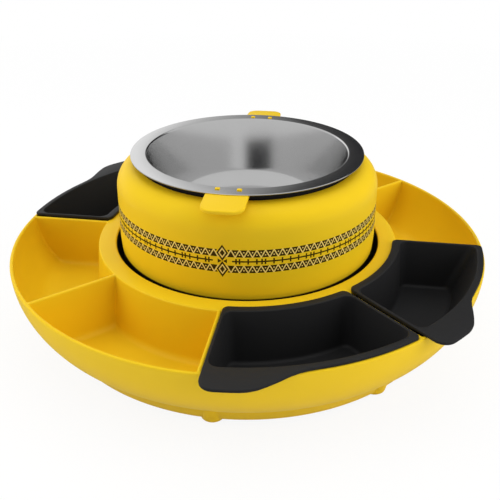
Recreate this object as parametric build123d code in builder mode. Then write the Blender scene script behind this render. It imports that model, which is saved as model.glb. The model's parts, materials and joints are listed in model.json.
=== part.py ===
"""Heated serving pot on a round base, with a revolving tray of topping compartments.

Millimetres, +Z up. The origin is on the axis of rotation at table height,
and the front of the pot faces -Y. Angles round the axis are counted from the
front (-Y), anticlockwise as seen from above.
"""

from build123d import *
import math
import os

os.makedirs("parts", exist_ok=True)

# Heights, stacked up from the table
foot_height = 4.2
base_to_tray_gap = 1.0
tray_height = 50.0
housing_rise = 69.0
flange_rise = 7.0

# Revolving tray
rim_radius = 200.0
tray_flare = 23.0
tray_wall = 2.8
tray_floor = 2.6
floor_recess = 1.4
plateau_width = 15.0
plateau_draft = 4.4
skirt_wall = 2.6
skirt_gap = 1.7
floor_fillet = 7.0
compartments = 8
divider_wall = 3.0
divider_drop = 0.4
track_width = 12.0
track_gauge = 1.0
track_inset = 23.5

# Loose containers, one to each of four compartments
container_sectors = (0, 1, 4, 5)
lip_gauge = 2.4
lip_edge = 0.7
lip_overlap = 3.4
lip_inset = 1.2
lip_side_gap = 2.0
lip_inner_corner = 5.0
lip_outer_corner = 3.5
lip_width = 5.1
tub_wall = 1.8
tub_draft_side = 2.2
tub_foot_gap_in = 1.58
tub_foot_gap_out = 1.8
tub_side_clearance = 0.9
tub_end_gap = 1.4
tub_lift = 4.0
tub_corner = 9.0
handle_reach = 17.2
handle_angle = 9.8
handle_run_angle = 9.1
handle_shoulder = 30.0
handle_hollow = 50.0
handle_corner = 9.5

# Base pan
base_inset = 3.5
base_draft = 5.3
base_wall = 2.5
base_floor = 2.5
centre_floor_lift = 3.0
collar_wall = 2.6
collar_height = 13.3
ring_ledge_width = 3.3
ring_ledge_height = 3.1
pan_hole_inset = 18.3
foot_count = 8
foot_radius = 8.8
foot_inset = 7.2
foot_lift = 1.2
foot_edge = 1.2
foot_lean = 3.6
foot_bump_height = 11.0
pad_radius = 5.5
pad_recess = 1.6

# Vents in the bottom cover
vent_rings = (30.0, 45.0, 60.0)
vent_length = 12.0
vent_width = 2.6
vents_per_ring = 8

# Rollers under the tray
roller_count = 8
roller_radius = 5.5
roller_floor_gap = 1.4
roller_width = 8.0
roller_edge = 0.8
axle_radius = 1.6
ear_thickness = 2.4
ear_width = 9.0
ear_head = 3.2

# Ring that centres the tray on the base
guide_height = 10.0
guide_edge = 0.8

# Pot housing
housing_radius = 109.3
housing_gap = 4.3
belt_height = 8.0
neck_draft = 1.2
foot_draft = 3.0
shoulder_radius = 18.1
housing_wall = 2.5
housing_lip = 1.2
boss_radius = 4.5
boss_inset = 10.3
boss_height = 30.0
boss_hole_depth = 21.0
boss_rib = 3.0
upper_boss_radius = 4.0
upper_boss_offset = 6.0
upper_boss_hole_depth = 3.3

# Heat-resistant ring and the metal well under it
heat_ring_wall = 4.6
heat_ring_height = 16.8
heat_ring_flange = 2.5
heat_ring_flange_gap = 2.0
well_gauge = 1.0
well_depth = 52.0
well_bottom_ring = 20.2
plate_thickness = 6.7
plate_edge = 1.0
plate_edge_gap = 7.2

# Serving bowl
flange_overhang = 7.0
bowl_to_ring = 1.4
sheet_gauge = 1.0
bowl_draft = 10.8
bowl_corner = 20.0
mouth_round = 1.4
hem_round = 0.45

# Bowl handles
handle_width = 31.4
tongue_reach = 23.2
tongue_to_bowl = 1.1
tongue_gauge = 2.9
tongue_droop = 1.5
tongue_corner = 8.0
lug_spacing = 16.0
lug_width = 3.6
lug_depth = 3.0
lug_head = 0.8
lug_setback = 2.3

# Heating parts
element_to_screws = 17.0
element_tube = 3.5
element_gap_angle = 24.0
element_pin_drop = 20.0
element_pin_radius = 2.2
thermostat_radius = 7.5
thermostat_body = 8.0
thermostat_cap_overhang = 1.0
thermostat_cap = 2.0
blade_length = 5.5
blade_width = 4.0
blade_gauge = 0.8
blade_rise = 1.5
bracket_end = 2.0
bracket_head_gap = 1.3
bracket_width = 9.0
bracket_gauge = 0.8
bracket_clearance = 0.6
fuse_radius = 2.0
fuse_length = 14.0
fuse_clearance = 0.3
clip_to_bracket = 3.0
clip_length = 6.0
clip_width = 10.0
clip_gauge = 0.5
shield_edge_gap = 5.2
shield_hole_inset = 15.0
shield_gauge = 0.8
shield_drop = 15.2
shield_pin_clearance = 3.3
spacer_radius = 4.0

# Screws
screw_radius = 2.0
screw_head_radius = 3.8
screw_head = 2.0
small_screw_radius = 1.5
small_screw_head_radius = 2.8
plate_screw_bite = 4.0
base_screw_bite = 15.0
bracket_screw_bite = 3.5
plate_screw_count = 3
plate_screw_angle = 50.0
plate_screw_inset = 13.2
ring_screw_bite = 3.0

# Supply
gland_bore = 3.2
gland_body_radius = 4.5
gland_flange = 2.0
gland_boss_width = 18.0
gland_boss_reach = 1.0
block_width = 26.0
block_depth = 12.0
block_height = 9.0
block_pitch = 8.0
block_from_wall = 23.5
block_bore = 1.3
block_bore_depth = 5.0
block_screw_radius = 1.4
block_screw_inset = 3.0
block_screw_depth = 3.1
block_screw_height = 2.7
wire_radius = 0.9
wire_stub = 9.0
wire_to_collar = 5.6
wire_from_collar = 6.5
wire_slot_width = 13.0
tag_radius = 5.0
tag_tail = 9.0
tag_width = 2.8
tag_angle = 120.0
barrel_radius = 1.9
barrel_length = 5.0

# Clearances
running_clearance = 0.05
fixed_clearance = 0.02
roller_to_track = 0.3
guide_clearance = 0.4
lip_seat_clearance = 0.2
bowl_seat_clearance = 0.2
plate_to_bowl_clearance = 0.2
notch_clearance = 0.75
roller_side_clearance = 0.4
hole_clearance = 0.2
gland_to_edge = 0.15
ring_to_housing = 0.5
well_to_ring = 1.0
thread_clearance = 0.02

# Levels that follow from the heights
pan_bottom = foot_height
pan_floor = pan_bottom + base_floor
roller_centre = pan_floor + roller_floor_gap + roller_radius
track_under = roller_centre + roller_radius + roller_to_track
tray_floor_under = track_under + track_gauge
tray_floor_top = tray_floor_under + tray_floor
tray_bottom = tray_floor_under - floor_recess
base_top = tray_bottom - base_to_tray_gap
base_wall_height = base_top - pan_bottom
rim_level = tray_bottom + tray_height
housing_top = rim_level + housing_rise
flange_top = housing_top + flange_rise
flange_under = flange_top - sheet_gauge
centre_floor_under = pan_bottom + centre_floor_lift
centre_floor = centre_floor_under + base_floor
lip_under = rim_level + lip_seat_clearance
lip_top = lip_under + lip_gauge
divider_top = rim_level - divider_drop
collar_top = centre_floor + collar_height
ledge_top = centre_floor + ring_ledge_height
skirt_bottom = ledge_top + skirt_gap
gland_level = (pan_floor + base_top) / 2
gland_flange_radius = (base_top - pan_floor) / 2 - gland_to_edge

# Radii that follow from the housing
hole_radius = housing_radius + housing_gap
plateau_radius = hole_radius + plateau_width
housing_foot_radius = housing_radius - foot_draft
housing_neck_radius = housing_radius - neck_draft
collar_inside = housing_foot_radius + hole_clearance
collar_outside = collar_inside + collar_wall
ledge_radius = collar_outside + ring_ledge_width
guide_radius = hole_radius - guide_clearance
tray_bottom_radius = rim_radius - tray_flare
base_top_radius = tray_bottom_radius - base_inset
base_foot_radius = base_top_radius - base_draft
screw_circle = housing_foot_radius - boss_inset
pan_hole_radius = housing_foot_radius - pan_hole_inset
cover_radius = collar_inside - base_wall
foot_circle = base_foot_radius - foot_inset
track_radius = base_top_radius - track_inset

# Tray wall: one arc, upright at the rim and ending at the bottom edge
arc_drop = tray_height - tray_wall / 2
arc_side = rim_radius - tray_bottom_radius
arc_radius = (arc_drop**2 + arc_side**2) / (2 * arc_side)
arc_level = rim_level - tray_wall / 2
arc_centre = (rim_radius - arc_radius, arc_level)


def polar(radius, degrees):
    """Point at this radius, degrees anticlockwise from the front."""
    turn = math.radians(degrees)
    return (radius * math.sin(turn), -radius * math.cos(turn))


def radial_plane(degrees):
    """Plane through the axis whose X runs outwards at this angle and whose Y is up."""
    x, y = polar(1, degrees)
    return Plane(origin=(0, 0, 0), x_dir=(x, y, 0), z_dir=(y, -x, 0))


def tray_wall_angle(inset, level):
    """Angle of the tray wall's arc, drawn this far inside its outer face, at a level."""
    return math.degrees(math.asin((arc_level - level) / (arc_radius - inset)))


def tray_wall_radius(inset, level):
    """Radius of the tray wall's arc, drawn this far inside its outer face, at a level."""
    reach = arc_radius - inset
    return arc_centre[0] + math.sqrt(reach**2 - (arc_level - level) ** 2)


def nearest(items, x, y):
    """The vertex that lies nearest to a point of its own sketch."""
    return items.sort_by_distance((x, y))[0]


def save(piece, name):
    """Label the piece and write it."""
    piece.part.label = name
    export_step(piece.part, f"parts/{name}.step")


# Tray
with BuildPart() as tray:
    with BuildSketch(Plane.XZ) as tray_section:
        with BuildLine():
            rim_outer_angle = tray_wall_angle(0, tray_bottom)
            CenterArc(arc_centre, arc_radius, -rim_outer_angle, rim_outer_angle)
            CenterArc((rim_radius - tray_wall / 2, arc_level), tray_wall / 2, 0, 180)
            rim_inner_angle = tray_wall_angle(tray_wall, tray_floor_top)
            CenterArc(arc_centre, arc_radius - tray_wall, 0, -rim_inner_angle)
            foot_of_wall = (tray_bottom_radius - tray_wall, tray_bottom)
            back_radius = plateau_radius - tray_wall
            Polyline(
                (tray_wall_radius(tray_wall, tray_floor_top), tray_floor_top),
                (plateau_radius + plateau_draft, tray_floor_top),
                (plateau_radius, rim_level),
                (hole_radius, rim_level),
                (hole_radius, skirt_bottom),
                (hole_radius + skirt_wall, skirt_bottom),
                (hole_radius + skirt_wall, rim_level - tray_floor),
                (back_radius, rim_level - tray_floor),
                (back_radius + plateau_draft, tray_floor_under),
                (foot_of_wall[0], tray_floor_under),
                foot_of_wall,
                (tray_bottom_radius, tray_bottom),
            )
        make_face()
        corners = tray_section.vertices()
        fillet(nearest(corners, tray_wall_radius(tray_wall, tray_floor_top), tray_floor_top), floor_fillet)
        fillet(nearest(corners, plateau_radius + plateau_draft, tray_floor_top), floor_fillet)
        fillet(nearest(corners, plateau_radius, rim_level), tray_wall / 2)
        fillet(nearest(corners, hole_radius, rim_level), tray_wall / 2)
    revolve(axis=Axis.Z)
    for sector in range(compartments):
        with BuildSketch(radial_plane(sector * 360 / compartments)):
            with BuildLine():
                wall_middle = tray_wall / 2
                low = tray_floor_top - tray_floor / 2
                top_angle = tray_wall_angle(wall_middle, divider_top - tray_wall / 2)
                low_angle = tray_wall_angle(wall_middle, low)
                CenterArc(arc_centre, arc_radius - wall_middle, -low_angle, low_angle - top_angle)
                Polyline(
                    (tray_wall_radius(wall_middle, divider_top - tray_wall / 2), divider_top - tray_wall / 2),
                    (rim_radius - tray_wall, divider_top),
                    (plateau_radius - wall_middle, divider_top),
                    (plateau_radius + plateau_draft - wall_middle, low),
                    (tray_wall_radius(wall_middle, low), low),
                )
            make_face()
        extrude(amount=divider_wall / 2, both=True)
save(tray, "tray")

# Steel track that the rollers run on
with BuildPart() as tray_track:
    with BuildSketch(Plane.XY.offset(track_under)):
        Circle(track_radius + track_width / 2)
        Circle(track_radius - track_width / 2, mode=Mode.SUBTRACT)
    extrude(amount=track_gauge)
save(tray_track, "tray_track")

# Loose containers
lip_outer = rim_radius - lip_inset
lip_inner = plateau_radius - lip_overlap
sector_angle = 360 / compartments


def wedge(inner_radius, outer_radius, side_gap, inner_corner, outer_corner):
    """Outline of one compartment, its sides held in from the divider lines."""
    far = outer_radius * 2
    with BuildSketch() as outline:
        Circle(outer_radius)
        Circle(inner_radius, mode=Mode.SUBTRACT)
        tip = side_gap / math.sin(math.radians(sector_angle / 2))
        start = polar(tip, sector_angle / 2)
        left = polar(far, 0)
        right = polar(far, sector_angle)
        with BuildLine():
            Polyline(start, (start[0] + left[0], start[1] + left[1]),
                     (start[0] + right[0], start[1] + right[1]), start)
        make_face(mode=Mode.INTERSECT)
        points = outline.vertices().sort_by(lambda v: math.hypot(v.X, v.Y))
        fillet(points[:2], inner_corner)
        fillet(points[2:], outer_corner)
    return outline.sketch


with BuildPart() as container_blank:
    tub_top = lip_under + lip_gauge / 2
    tub_bottom = tray_floor_top + tub_lift
    tub_inner = plateau_radius + tub_end_gap
    tub_outer = lip_outer - lip_width + tub_wall
    tub_side_gap = divider_wall / 2 + tub_side_clearance
    wall_lean = plateau_draft * (rim_level - tub_bottom) / (rim_level - tray_floor_top)
    tub_foot_inner = plateau_radius + wall_lean + tub_foot_gap_in
    tub_foot_outer = tray_wall_radius(tray_wall, tub_bottom) - tub_foot_gap_out
    # Tub, outside
    with BuildSketch(Plane.XY.offset(tub_bottom)):
        add(wedge(tub_foot_inner, tub_foot_outer,
                  tub_side_gap + tub_draft_side, tub_corner, tub_corner))
    with BuildSketch(Plane.XY.offset(tub_top)):
        add(wedge(tub_inner, tub_outer, tub_side_gap, tub_corner, tub_corner))
    loft(ruled=True)
    # Lip with its handle
    with BuildSketch(Plane.XY.offset(lip_under)) as lip_plan:
        handle_radius = lip_outer + handle_reach
        with BuildLine():
            far_side = polar(handle_radius * 2, 0)
            Polyline(
                (lip_side_gap, -lip_inner),
                (lip_side_gap, far_side[1]),
                polar(handle_radius * 2, handle_angle),
                polar(handle_radius, handle_angle),
                polar(lip_outer, handle_angle + handle_run_angle),
                polar(lip_inner, handle_angle + handle_run_angle),
                (lip_side_gap, -lip_inner),
            )
        make_face()
        Circle(handle_radius, mode=Mode.INTERSECT)
        Circle(lip_outer - lip_width, mode=Mode.SUBTRACT)
        add(wedge(lip_inner, lip_outer, lip_side_gap, lip_inner_corner, lip_outer_corner))
        fillet(nearest(lip_plan.vertices(), *polar(handle_radius, handle_angle)), handle_shoulder)
        hollow = polar(lip_outer, handle_angle + handle_run_angle)
        fillet(nearest(lip_plan.vertices(), *hollow), handle_hollow)
        fillet(nearest(lip_plan.vertices(), lip_side_gap, -handle_radius), handle_corner)
    extrude(amount=lip_gauge)
    lip_edges = container_blank.edges().filter_by_position(Axis.Z, lip_top - 0.01, lip_top + 0.01)
    fillet(lip_edges, lip_edge)
    # Tub, inside
    with BuildSketch(Plane.XY.offset(tub_bottom + tub_wall)):
        add(wedge(tub_foot_inner + tub_wall, tub_foot_outer - tub_wall,
                  tub_side_gap + tub_draft_side + tub_wall, tub_corner - tub_wall, tub_corner - tub_wall))
    with BuildSketch(Plane.XY.offset(lip_top)):
        add(wedge(tub_inner + tub_wall, tub_outer - tub_wall,
                  tub_side_gap + tub_wall, tub_corner - tub_wall, tub_corner - tub_wall))
    loft(ruled=True, mode=Mode.SUBTRACT)

for number, sector in enumerate(container_sectors, start=1):
    with BuildPart() as container:
        add(container_blank.part, rotation=(0, 0, sector * sector_angle))
    save(container, f"container_{number}")

# Base pan: floor, outer wall, collar for the housing, feet and roller brackets
ear_offset = roller_width / 2 + roller_side_clearance + ear_thickness / 2
gland_face = base_top_radius + gland_boss_reach
gland_boss_depth = gland_boss_reach + base_draft + base_wall
with BuildPart() as base_pan:
    with BuildSketch(Plane.XZ):
        with BuildLine():
            Polyline(
                (pan_hole_radius, centre_floor_under),
                (cover_radius + hole_clearance, centre_floor_under),
                (cover_radius + hole_clearance, pan_bottom),
                (base_foot_radius, pan_bottom),
                (base_top_radius, base_top),
                (ledge_radius, base_top),
                (ledge_radius, ledge_top),
                (collar_outside, ledge_top),
                (collar_outside, collar_top),
                (collar_inside, collar_top),
                (collar_inside, centre_floor),
                (pan_hole_radius, centre_floor),
                (pan_hole_radius, centre_floor_under),
            )
        make_face()
    revolve(axis=Axis.Z)
    for foot in range(foot_count):
        foot_angle = foot * 360 / foot_count
        with BuildSketch(Plane.XY.offset(foot_lift)):
            with Locations(polar(foot_circle, foot_angle)):
                Circle(foot_radius)
        with BuildSketch(Plane.XY.offset(pan_bottom + foot_bump_height)):
            with Locations(polar(foot_circle + foot_lean, foot_angle)):
                Circle(foot_radius)
        loft()
    fillet(base_pan.edges().filter_by_position(Axis.Z, foot_lift - 0.01, foot_lift + 0.01), foot_edge)
    with BuildSketch(Plane.XZ):
        with BuildLine():
            Polyline(
                (ledge_radius, pan_floor),
                (base_foot_radius - base_wall + base_draft * base_floor / base_wall_height, pan_floor),
                (base_top_radius - base_wall, base_top),
                (base_top_radius - base_wall, base_top + base_wall_height),
                (ledge_radius, base_top + base_wall_height),
                (ledge_radius, pan_floor),
            )
        make_face()
    revolve(axis=Axis.Z, mode=Mode.SUBTRACT)
    with BuildSketch(Plane.XY.offset(foot_lift)):
        with PolarLocations(foot_circle, foot_count, start_angle=-90):
            Circle(pad_radius + fixed_clearance)
    extrude(amount=pad_recess, mode=Mode.SUBTRACT)
    # Brackets that hold the roller axles
    with PolarLocations(track_radius, roller_count, start_angle=-90 + 180 / roller_count):
        for side in (-1, 1):
            with Locations((side * ear_offset, 0, pan_floor)):
                Box(ear_thickness, ear_width, roller_centre + ear_head - pan_floor,
                    align=(Align.CENTER, Align.CENTER, Align.MIN))
    with PolarLocations(track_radius, roller_count, start_angle=-90 + 180 / roller_count):
        with Locations(Location((0, 0, roller_centre), (0, 90, 0))):
            Cylinder(axle_radius + fixed_clearance, 2 * ear_offset + 2 * ear_thickness, mode=Mode.SUBTRACT)
    # Flat at the back for the cord gland, and the way in for the wires
    with Locations((0, gland_face, pan_bottom)):
        Box(gland_boss_width, gland_boss_depth, base_wall_height,
            align=(Align.CENTER, Align.MAX, Align.MIN))
    with Locations(Location((0, gland_face, gland_level), (90, 0, 0))):
        Cylinder(gland_body_radius + fixed_clearance, 3 * gland_boss_depth, mode=Mode.SUBTRACT)
    with Locations((0, (collar_inside + ledge_radius) / 2, centre_floor)):
        Box(wire_slot_width, ledge_radius - collar_inside + collar_wall, ring_ledge_height,
            align=(Align.CENTER, Align.CENTER, Align.MIN), mode=Mode.SUBTRACT)
    with PolarLocations(screw_circle, 4, start_angle=45):
        with Locations((0, 0, centre_floor_under)):
            Cylinder(screw_radius + hole_clearance, base_floor,
                     align=(Align.CENTER, Align.CENTER, Align.MIN), mode=Mode.SUBTRACT)
save(base_pan, "base_pan")

# Bottom cover with its vents, and the screws that also hold the housing
with BuildPart() as bottom_cover:
    with BuildSketch(Plane.XY.offset(centre_floor_under - base_wall)):
        Circle(cover_radius)
        for vent_radius in vent_rings:
            with PolarLocations(vent_radius, vents_per_ring):
                SlotOverall(vent_length, vent_width, rotation=90, mode=Mode.SUBTRACT)
        with PolarLocations(screw_circle, 4, start_angle=45):
            Circle(screw_radius + hole_clearance, mode=Mode.SUBTRACT)
    extrude(amount=base_wall)
save(bottom_cover, "bottom_cover")

cover_under = centre_floor_under - base_wall
with BuildPart() as base_screws:
    with PolarLocations(screw_circle, 4, start_angle=45):
        with Locations((0, 0, cover_under - screw_head)):
            Cylinder(screw_head_radius, screw_head, align=(Align.CENTER, Align.CENTER, Align.MIN))
            Cylinder(screw_radius, screw_head + base_wall + base_floor + base_screw_bite,
                     align=(Align.CENTER, Align.CENTER, Align.MIN))
save(base_screws, "base_screws")

# Rubber feet
with BuildPart() as rubber_feet:
    with PolarLocations(foot_circle, foot_count, start_angle=-90):
        Cylinder(pad_radius, foot_lift + pad_recess, align=(Align.CENTER, Align.CENTER, Align.MIN))
save(rubber_feet, "rubber_feet")

# Rollers and their axles
for number in range(roller_count):
    angle = (number + 0.5) * 360 / roller_count
    with BuildPart() as roller:
        with BuildSketch(Plane(origin=(*polar(track_radius, angle), roller_centre),
                               z_dir=(*polar(1, angle), 0))):
            Circle(roller_radius)
            Circle(axle_radius + running_clearance, mode=Mode.SUBTRACT)
        extrude(amount=roller_width / 2, both=True)
        chamfer(roller.edges().filter_by(GeomType.CIRCLE).group_by(SortBy.RADIUS)[-1], roller_edge)
    save(roller, f"roller_{number + 1}")

with BuildPart() as roller_axles:
    with PolarLocations(track_radius, roller_count, start_angle=-90 + 180 / roller_count):
        with Locations(Location((0, 0, roller_centre), (0, 90, 0))):
            Cylinder(axle_radius, 2 * ear_offset + ear_thickness)
save(roller_axles, "roller_axles")

# Low-friction ring that centres the tray
with BuildPart() as guide_ring:
    with BuildSketch(Plane.XY.offset(ledge_top)):
        Circle(guide_radius)
        Circle(collar_outside + fixed_clearance, mode=Mode.SUBTRACT)
    extrude(amount=guide_height)
    chamfer(guide_ring.edges().filter_by_position(Axis.Z, ledge_top + guide_height - 0.01,
                                                  ledge_top + guide_height + 0.01), guide_edge)
save(guide_ring, "guide_ring")

# Housing
shoulder_centre = (housing_neck_radius - shoulder_radius, housing_top - shoulder_radius)
heat_ring_outer = shoulder_centre[0] - housing_lip
belt_level = rim_level + belt_height
inner_shoulder = shoulder_radius - housing_wall
heat_ring_top = flange_under - bowl_seat_clearance
heat_ring_bottom = heat_ring_top - heat_ring_height
upper_boss_circle = shoulder_centre[0] + upper_boss_offset
with BuildPart() as housing_shell:
    with BuildSketch(Plane.XZ) as housing_section:
        with BuildLine():
            Polyline(
                (heat_ring_outer + ring_to_housing, housing_top - housing_wall),
                (heat_ring_outer + ring_to_housing, housing_top),
                (shoulder_centre[0], housing_top),
            )
            CenterArc(shoulder_centre, shoulder_radius, 90, -90)
            Polyline(
                (housing_neck_radius, shoulder_centre[1]),
                (housing_radius, belt_level),
                (housing_foot_radius, collar_top),
                (housing_foot_radius, centre_floor),
                (housing_foot_radius - housing_wall, centre_floor),
                (housing_foot_radius - housing_wall, collar_top),
                (housing_radius - housing_wall, belt_level),
                (housing_neck_radius - housing_wall, shoulder_centre[1]),
            )
            CenterArc(shoulder_centre, inner_shoulder, 0, 90)
            Line((shoulder_centre[0], housing_top - housing_wall),
                 (heat_ring_outer + ring_to_housing, housing_top - housing_wall))
        make_face()
    revolve(axis=Axis.Z)
    # Bosses for the base screws, each tied to the wall by a rib
    with PolarLocations(screw_circle, 4, start_angle=45):
        with Locations((0, 0, centre_floor)):
            Cylinder(boss_radius, boss_height, align=(Align.CENTER, Align.CENTER, Align.MIN))
            Box(boss_inset - housing_wall / 2, boss_rib, boss_height,
                align=(Align.MIN, Align.CENTER, Align.MIN))
    with PolarLocations(screw_circle, 4, start_angle=45):
        with Locations((0, 0, centre_floor)):
            Cylinder(screw_radius + thread_clearance, boss_hole_depth,
                     align=(Align.CENTER, Align.CENTER, Align.MIN), mode=Mode.SUBTRACT)
    # Bosses under the shoulder for the heat-resistant ring
    upper_boss_bottom = heat_ring_bottom + heat_ring_flange
    boss_far_side = upper_boss_offset + upper_boss_radius
    boss_reach = shoulder_centre[1] + math.sqrt(inner_shoulder**2 - boss_far_side**2)
    with PolarLocations(upper_boss_circle, 4, start_angle=45):
        with Locations((0, 0, upper_boss_bottom)):
            Cylinder(upper_boss_radius, boss_reach + housing_wall / 2 - upper_boss_bottom,
                     align=(Align.CENTER, Align.CENTER, Align.MIN))
            Cylinder(small_screw_radius + thread_clearance, upper_boss_hole_depth,
                     align=(Align.CENTER, Align.CENTER, Align.MIN), mode=Mode.SUBTRACT)
    with Locations((0, housing_foot_radius, centre_floor)):
        Box(wire_slot_width, boss_inset, ring_ledge_height,
            align=(Align.CENTER, Align.CENTER, Align.MIN), mode=Mode.SUBTRACT)
save(housing_shell, "housing_shell")

# Heat-resistant ring between the housing and the serving bowl
heat_ring_inner = heat_ring_outer - heat_ring_wall
ring_flange_rise = heat_ring_bottom + heat_ring_flange - shoulder_centre[1]
ring_flange_edge = shoulder_centre[0] + math.sqrt(inner_shoulder**2 - ring_flange_rise**2)
ring_flange_radius = ring_flange_edge - heat_ring_flange_gap
flange_radius = heat_ring_outer + flange_overhang
mouth_radius = heat_ring_inner - bowl_to_ring
handle_under = flange_under - tongue_gauge
with BuildPart() as heat_ring:
    with BuildSketch(Plane.XY.offset(heat_ring_bottom)):
        Circle(heat_ring_outer)
        Circle(heat_ring_inner, mode=Mode.SUBTRACT)
    extrude(amount=heat_ring_height)
    with BuildSketch(Plane.XY.offset(heat_ring_bottom)):
        Circle(ring_flange_radius)
        Circle(heat_ring_inner, mode=Mode.SUBTRACT)
        with PolarLocations(upper_boss_circle, 4, start_angle=45):
            Circle(small_screw_radius + hole_clearance, mode=Mode.SUBTRACT)
    extrude(amount=heat_ring_flange)
    with Locations((0, 0, handle_under - bowl_seat_clearance)):
        Box(handle_width + 2 * notch_clearance, 2 * heat_ring_outer, heat_ring_height,
            align=(Align.CENTER, Align.CENTER, Align.MIN), mode=Mode.SUBTRACT)
save(heat_ring, "heat_ring")

# Metal well
well_inside = heat_ring_inner + well_to_ring
well_top = heat_ring_bottom
well_bottom = well_top - well_depth
plate_screw_circle = well_inside - plate_screw_inset
with BuildPart() as heating_well:
    with BuildSketch(Plane.XZ):
        with BuildLine():
            Polyline(
                (well_inside, well_top),
                (ring_flange_radius, well_top),
                (ring_flange_radius, well_top - well_gauge),
                (well_inside + well_gauge, well_top - well_gauge),
                (well_inside + well_gauge, well_bottom),
                (well_inside + well_gauge - well_bottom_ring, well_bottom),
                (well_inside + well_gauge - well_bottom_ring, well_bottom + well_gauge),
                (well_inside, well_bottom + well_gauge),
                (well_inside, well_top),
            )
        make_face()
    revolve(axis=Axis.Z)
    with PolarLocations(upper_boss_circle, 4, start_angle=45):
        with Locations((0, 0, well_top)):
            Cylinder(small_screw_radius + hole_clearance, 3 * well_gauge, mode=Mode.SUBTRACT)
    with PolarLocations(plate_screw_circle, plate_screw_count, start_angle=plate_screw_angle):
        with Locations((0, 0, well_bottom)):
            Cylinder(screw_radius + hole_clearance, 3 * well_gauge, mode=Mode.SUBTRACT)
save(heating_well, "heating_well")

with BuildPart() as ring_screws:
    with PolarLocations(upper_boss_circle, 4, start_angle=45):
        with Locations((0, 0, well_top - well_gauge - screw_head)):
            Cylinder(small_screw_head_radius, screw_head, align=(Align.CENTER, Align.CENTER, Align.MIN))
            Cylinder(small_screw_radius, screw_head + well_gauge + heat_ring_flange + ring_screw_bite,
                     align=(Align.CENTER, Align.CENTER, Align.MIN))
save(ring_screws, "ring_screws")

# Heating plate with its element
plate_under = well_bottom + well_gauge
plate_top = plate_under + plate_thickness
plate_radius = well_inside - plate_edge_gap
element_circle = plate_screw_circle - element_to_screws
thermostat_cap_radius = thermostat_radius + thermostat_cap_overhang
joggle_start = thermostat_cap_radius + bracket_clearance
bracket_screw_reach = joggle_start + bracket_gauge + small_screw_head_radius + bracket_head_gap
bracket_screw_spacing = 2 * bracket_screw_reach
bracket_half_length = bracket_screw_reach + bracket_end
fuse_offset = bracket_half_length + clip_to_bracket + clip_width / 2
gap_half = element_gap_angle / 2
with BuildPart() as heating_plate:
    with BuildSketch(Plane.XY.offset(plate_under)):
        Circle(plate_radius)
    extrude(amount=plate_thickness)
    chamfer(heating_plate.faces().sort_by(Axis.Z)[-1].edges(), plate_edge)
    with BuildSketch(Plane.XZ):
        with Locations((element_circle, plate_under)):
            Circle(element_tube + fixed_clearance)
    revolve(axis=Axis.Z, mode=Mode.SUBTRACT)
    with PolarLocations(plate_screw_circle, plate_screw_count, start_angle=plate_screw_angle):
        with Locations((0, 0, plate_under)):
            Cylinder(screw_radius + thread_clearance, plate_screw_bite + hole_clearance,
                     align=(Align.CENTER, Align.CENTER, Align.MIN), mode=Mode.SUBTRACT)
    with GridLocations(bracket_screw_spacing, 0, 2, 1):
        with Locations((0, 0, plate_under)):
            Cylinder(small_screw_radius + thread_clearance, bracket_screw_bite + hole_clearance,
                     align=(Align.CENTER, Align.CENTER, Align.MIN), mode=Mode.SUBTRACT)
save(heating_plate, "heating_plate")

pin_spots = [polar(element_circle, 180 - gap_half), polar(element_circle, 180 + gap_half)]
pin_end = plate_under - element_pin_drop
with BuildPart() as heating_element:
    with BuildSketch(radial_plane(180 + gap_half)):
        with Locations((element_circle, plate_under)):
            Circle(element_tube)
    revolve(axis=Axis.Z, revolution_arc=360 - element_gap_angle)
    for x, y in pin_spots:
        with Locations((x, y, plate_under)):
            Sphere(element_tube)
        with Locations((x, y, pin_end)):
            Cylinder(element_pin_radius, element_pin_drop, align=(Align.CENTER, Align.CENTER, Align.MIN))
save(heating_element, "heating_element")

# Heat shield hung under the plate
shield_under = well_bottom - shield_drop
shield_radius = well_inside - shield_edge_gap
shield_hole = element_circle - shield_hole_inset
with BuildPart() as heat_shield:
    with BuildSketch(Plane.XY.offset(shield_under)):
        Circle(shield_radius)
        Circle(shield_hole, mode=Mode.SUBTRACT)
        with PolarLocations(plate_screw_circle, plate_screw_count, start_angle=plate_screw_angle):
            Circle(screw_radius + hole_clearance, mode=Mode.SUBTRACT)
        with Locations(*pin_spots):
            Circle(element_pin_radius + shield_pin_clearance, mode=Mode.SUBTRACT)
    extrude(amount=shield_gauge)
save(heat_shield, "heat_shield")

with BuildPart() as shield_spacers:
    with BuildSketch(Plane.XY.offset(shield_under + shield_gauge)):
        with PolarLocations(plate_screw_circle, plate_screw_count, start_angle=plate_screw_angle):
            Circle(spacer_radius)
            Circle(screw_radius + hole_clearance, mode=Mode.SUBTRACT)
    extrude(amount=shield_drop - shield_gauge)
save(shield_spacers, "shield_spacers")

tag_under = shield_under - blade_gauge
with BuildPart() as plate_screws:
    with PolarLocations(plate_screw_circle, plate_screw_count, start_angle=plate_screw_angle):
        with Locations((0, 0, tag_under - screw_head)):
            Cylinder(screw_head_radius, screw_head, align=(Align.CENTER, Align.CENTER, Align.MIN))
            Cylinder(screw_radius, screw_head + plate_under + plate_screw_bite - tag_under,
                     align=(Align.CENTER, Align.CENTER, Align.MIN))
save(plate_screws, "plate_screws")

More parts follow.
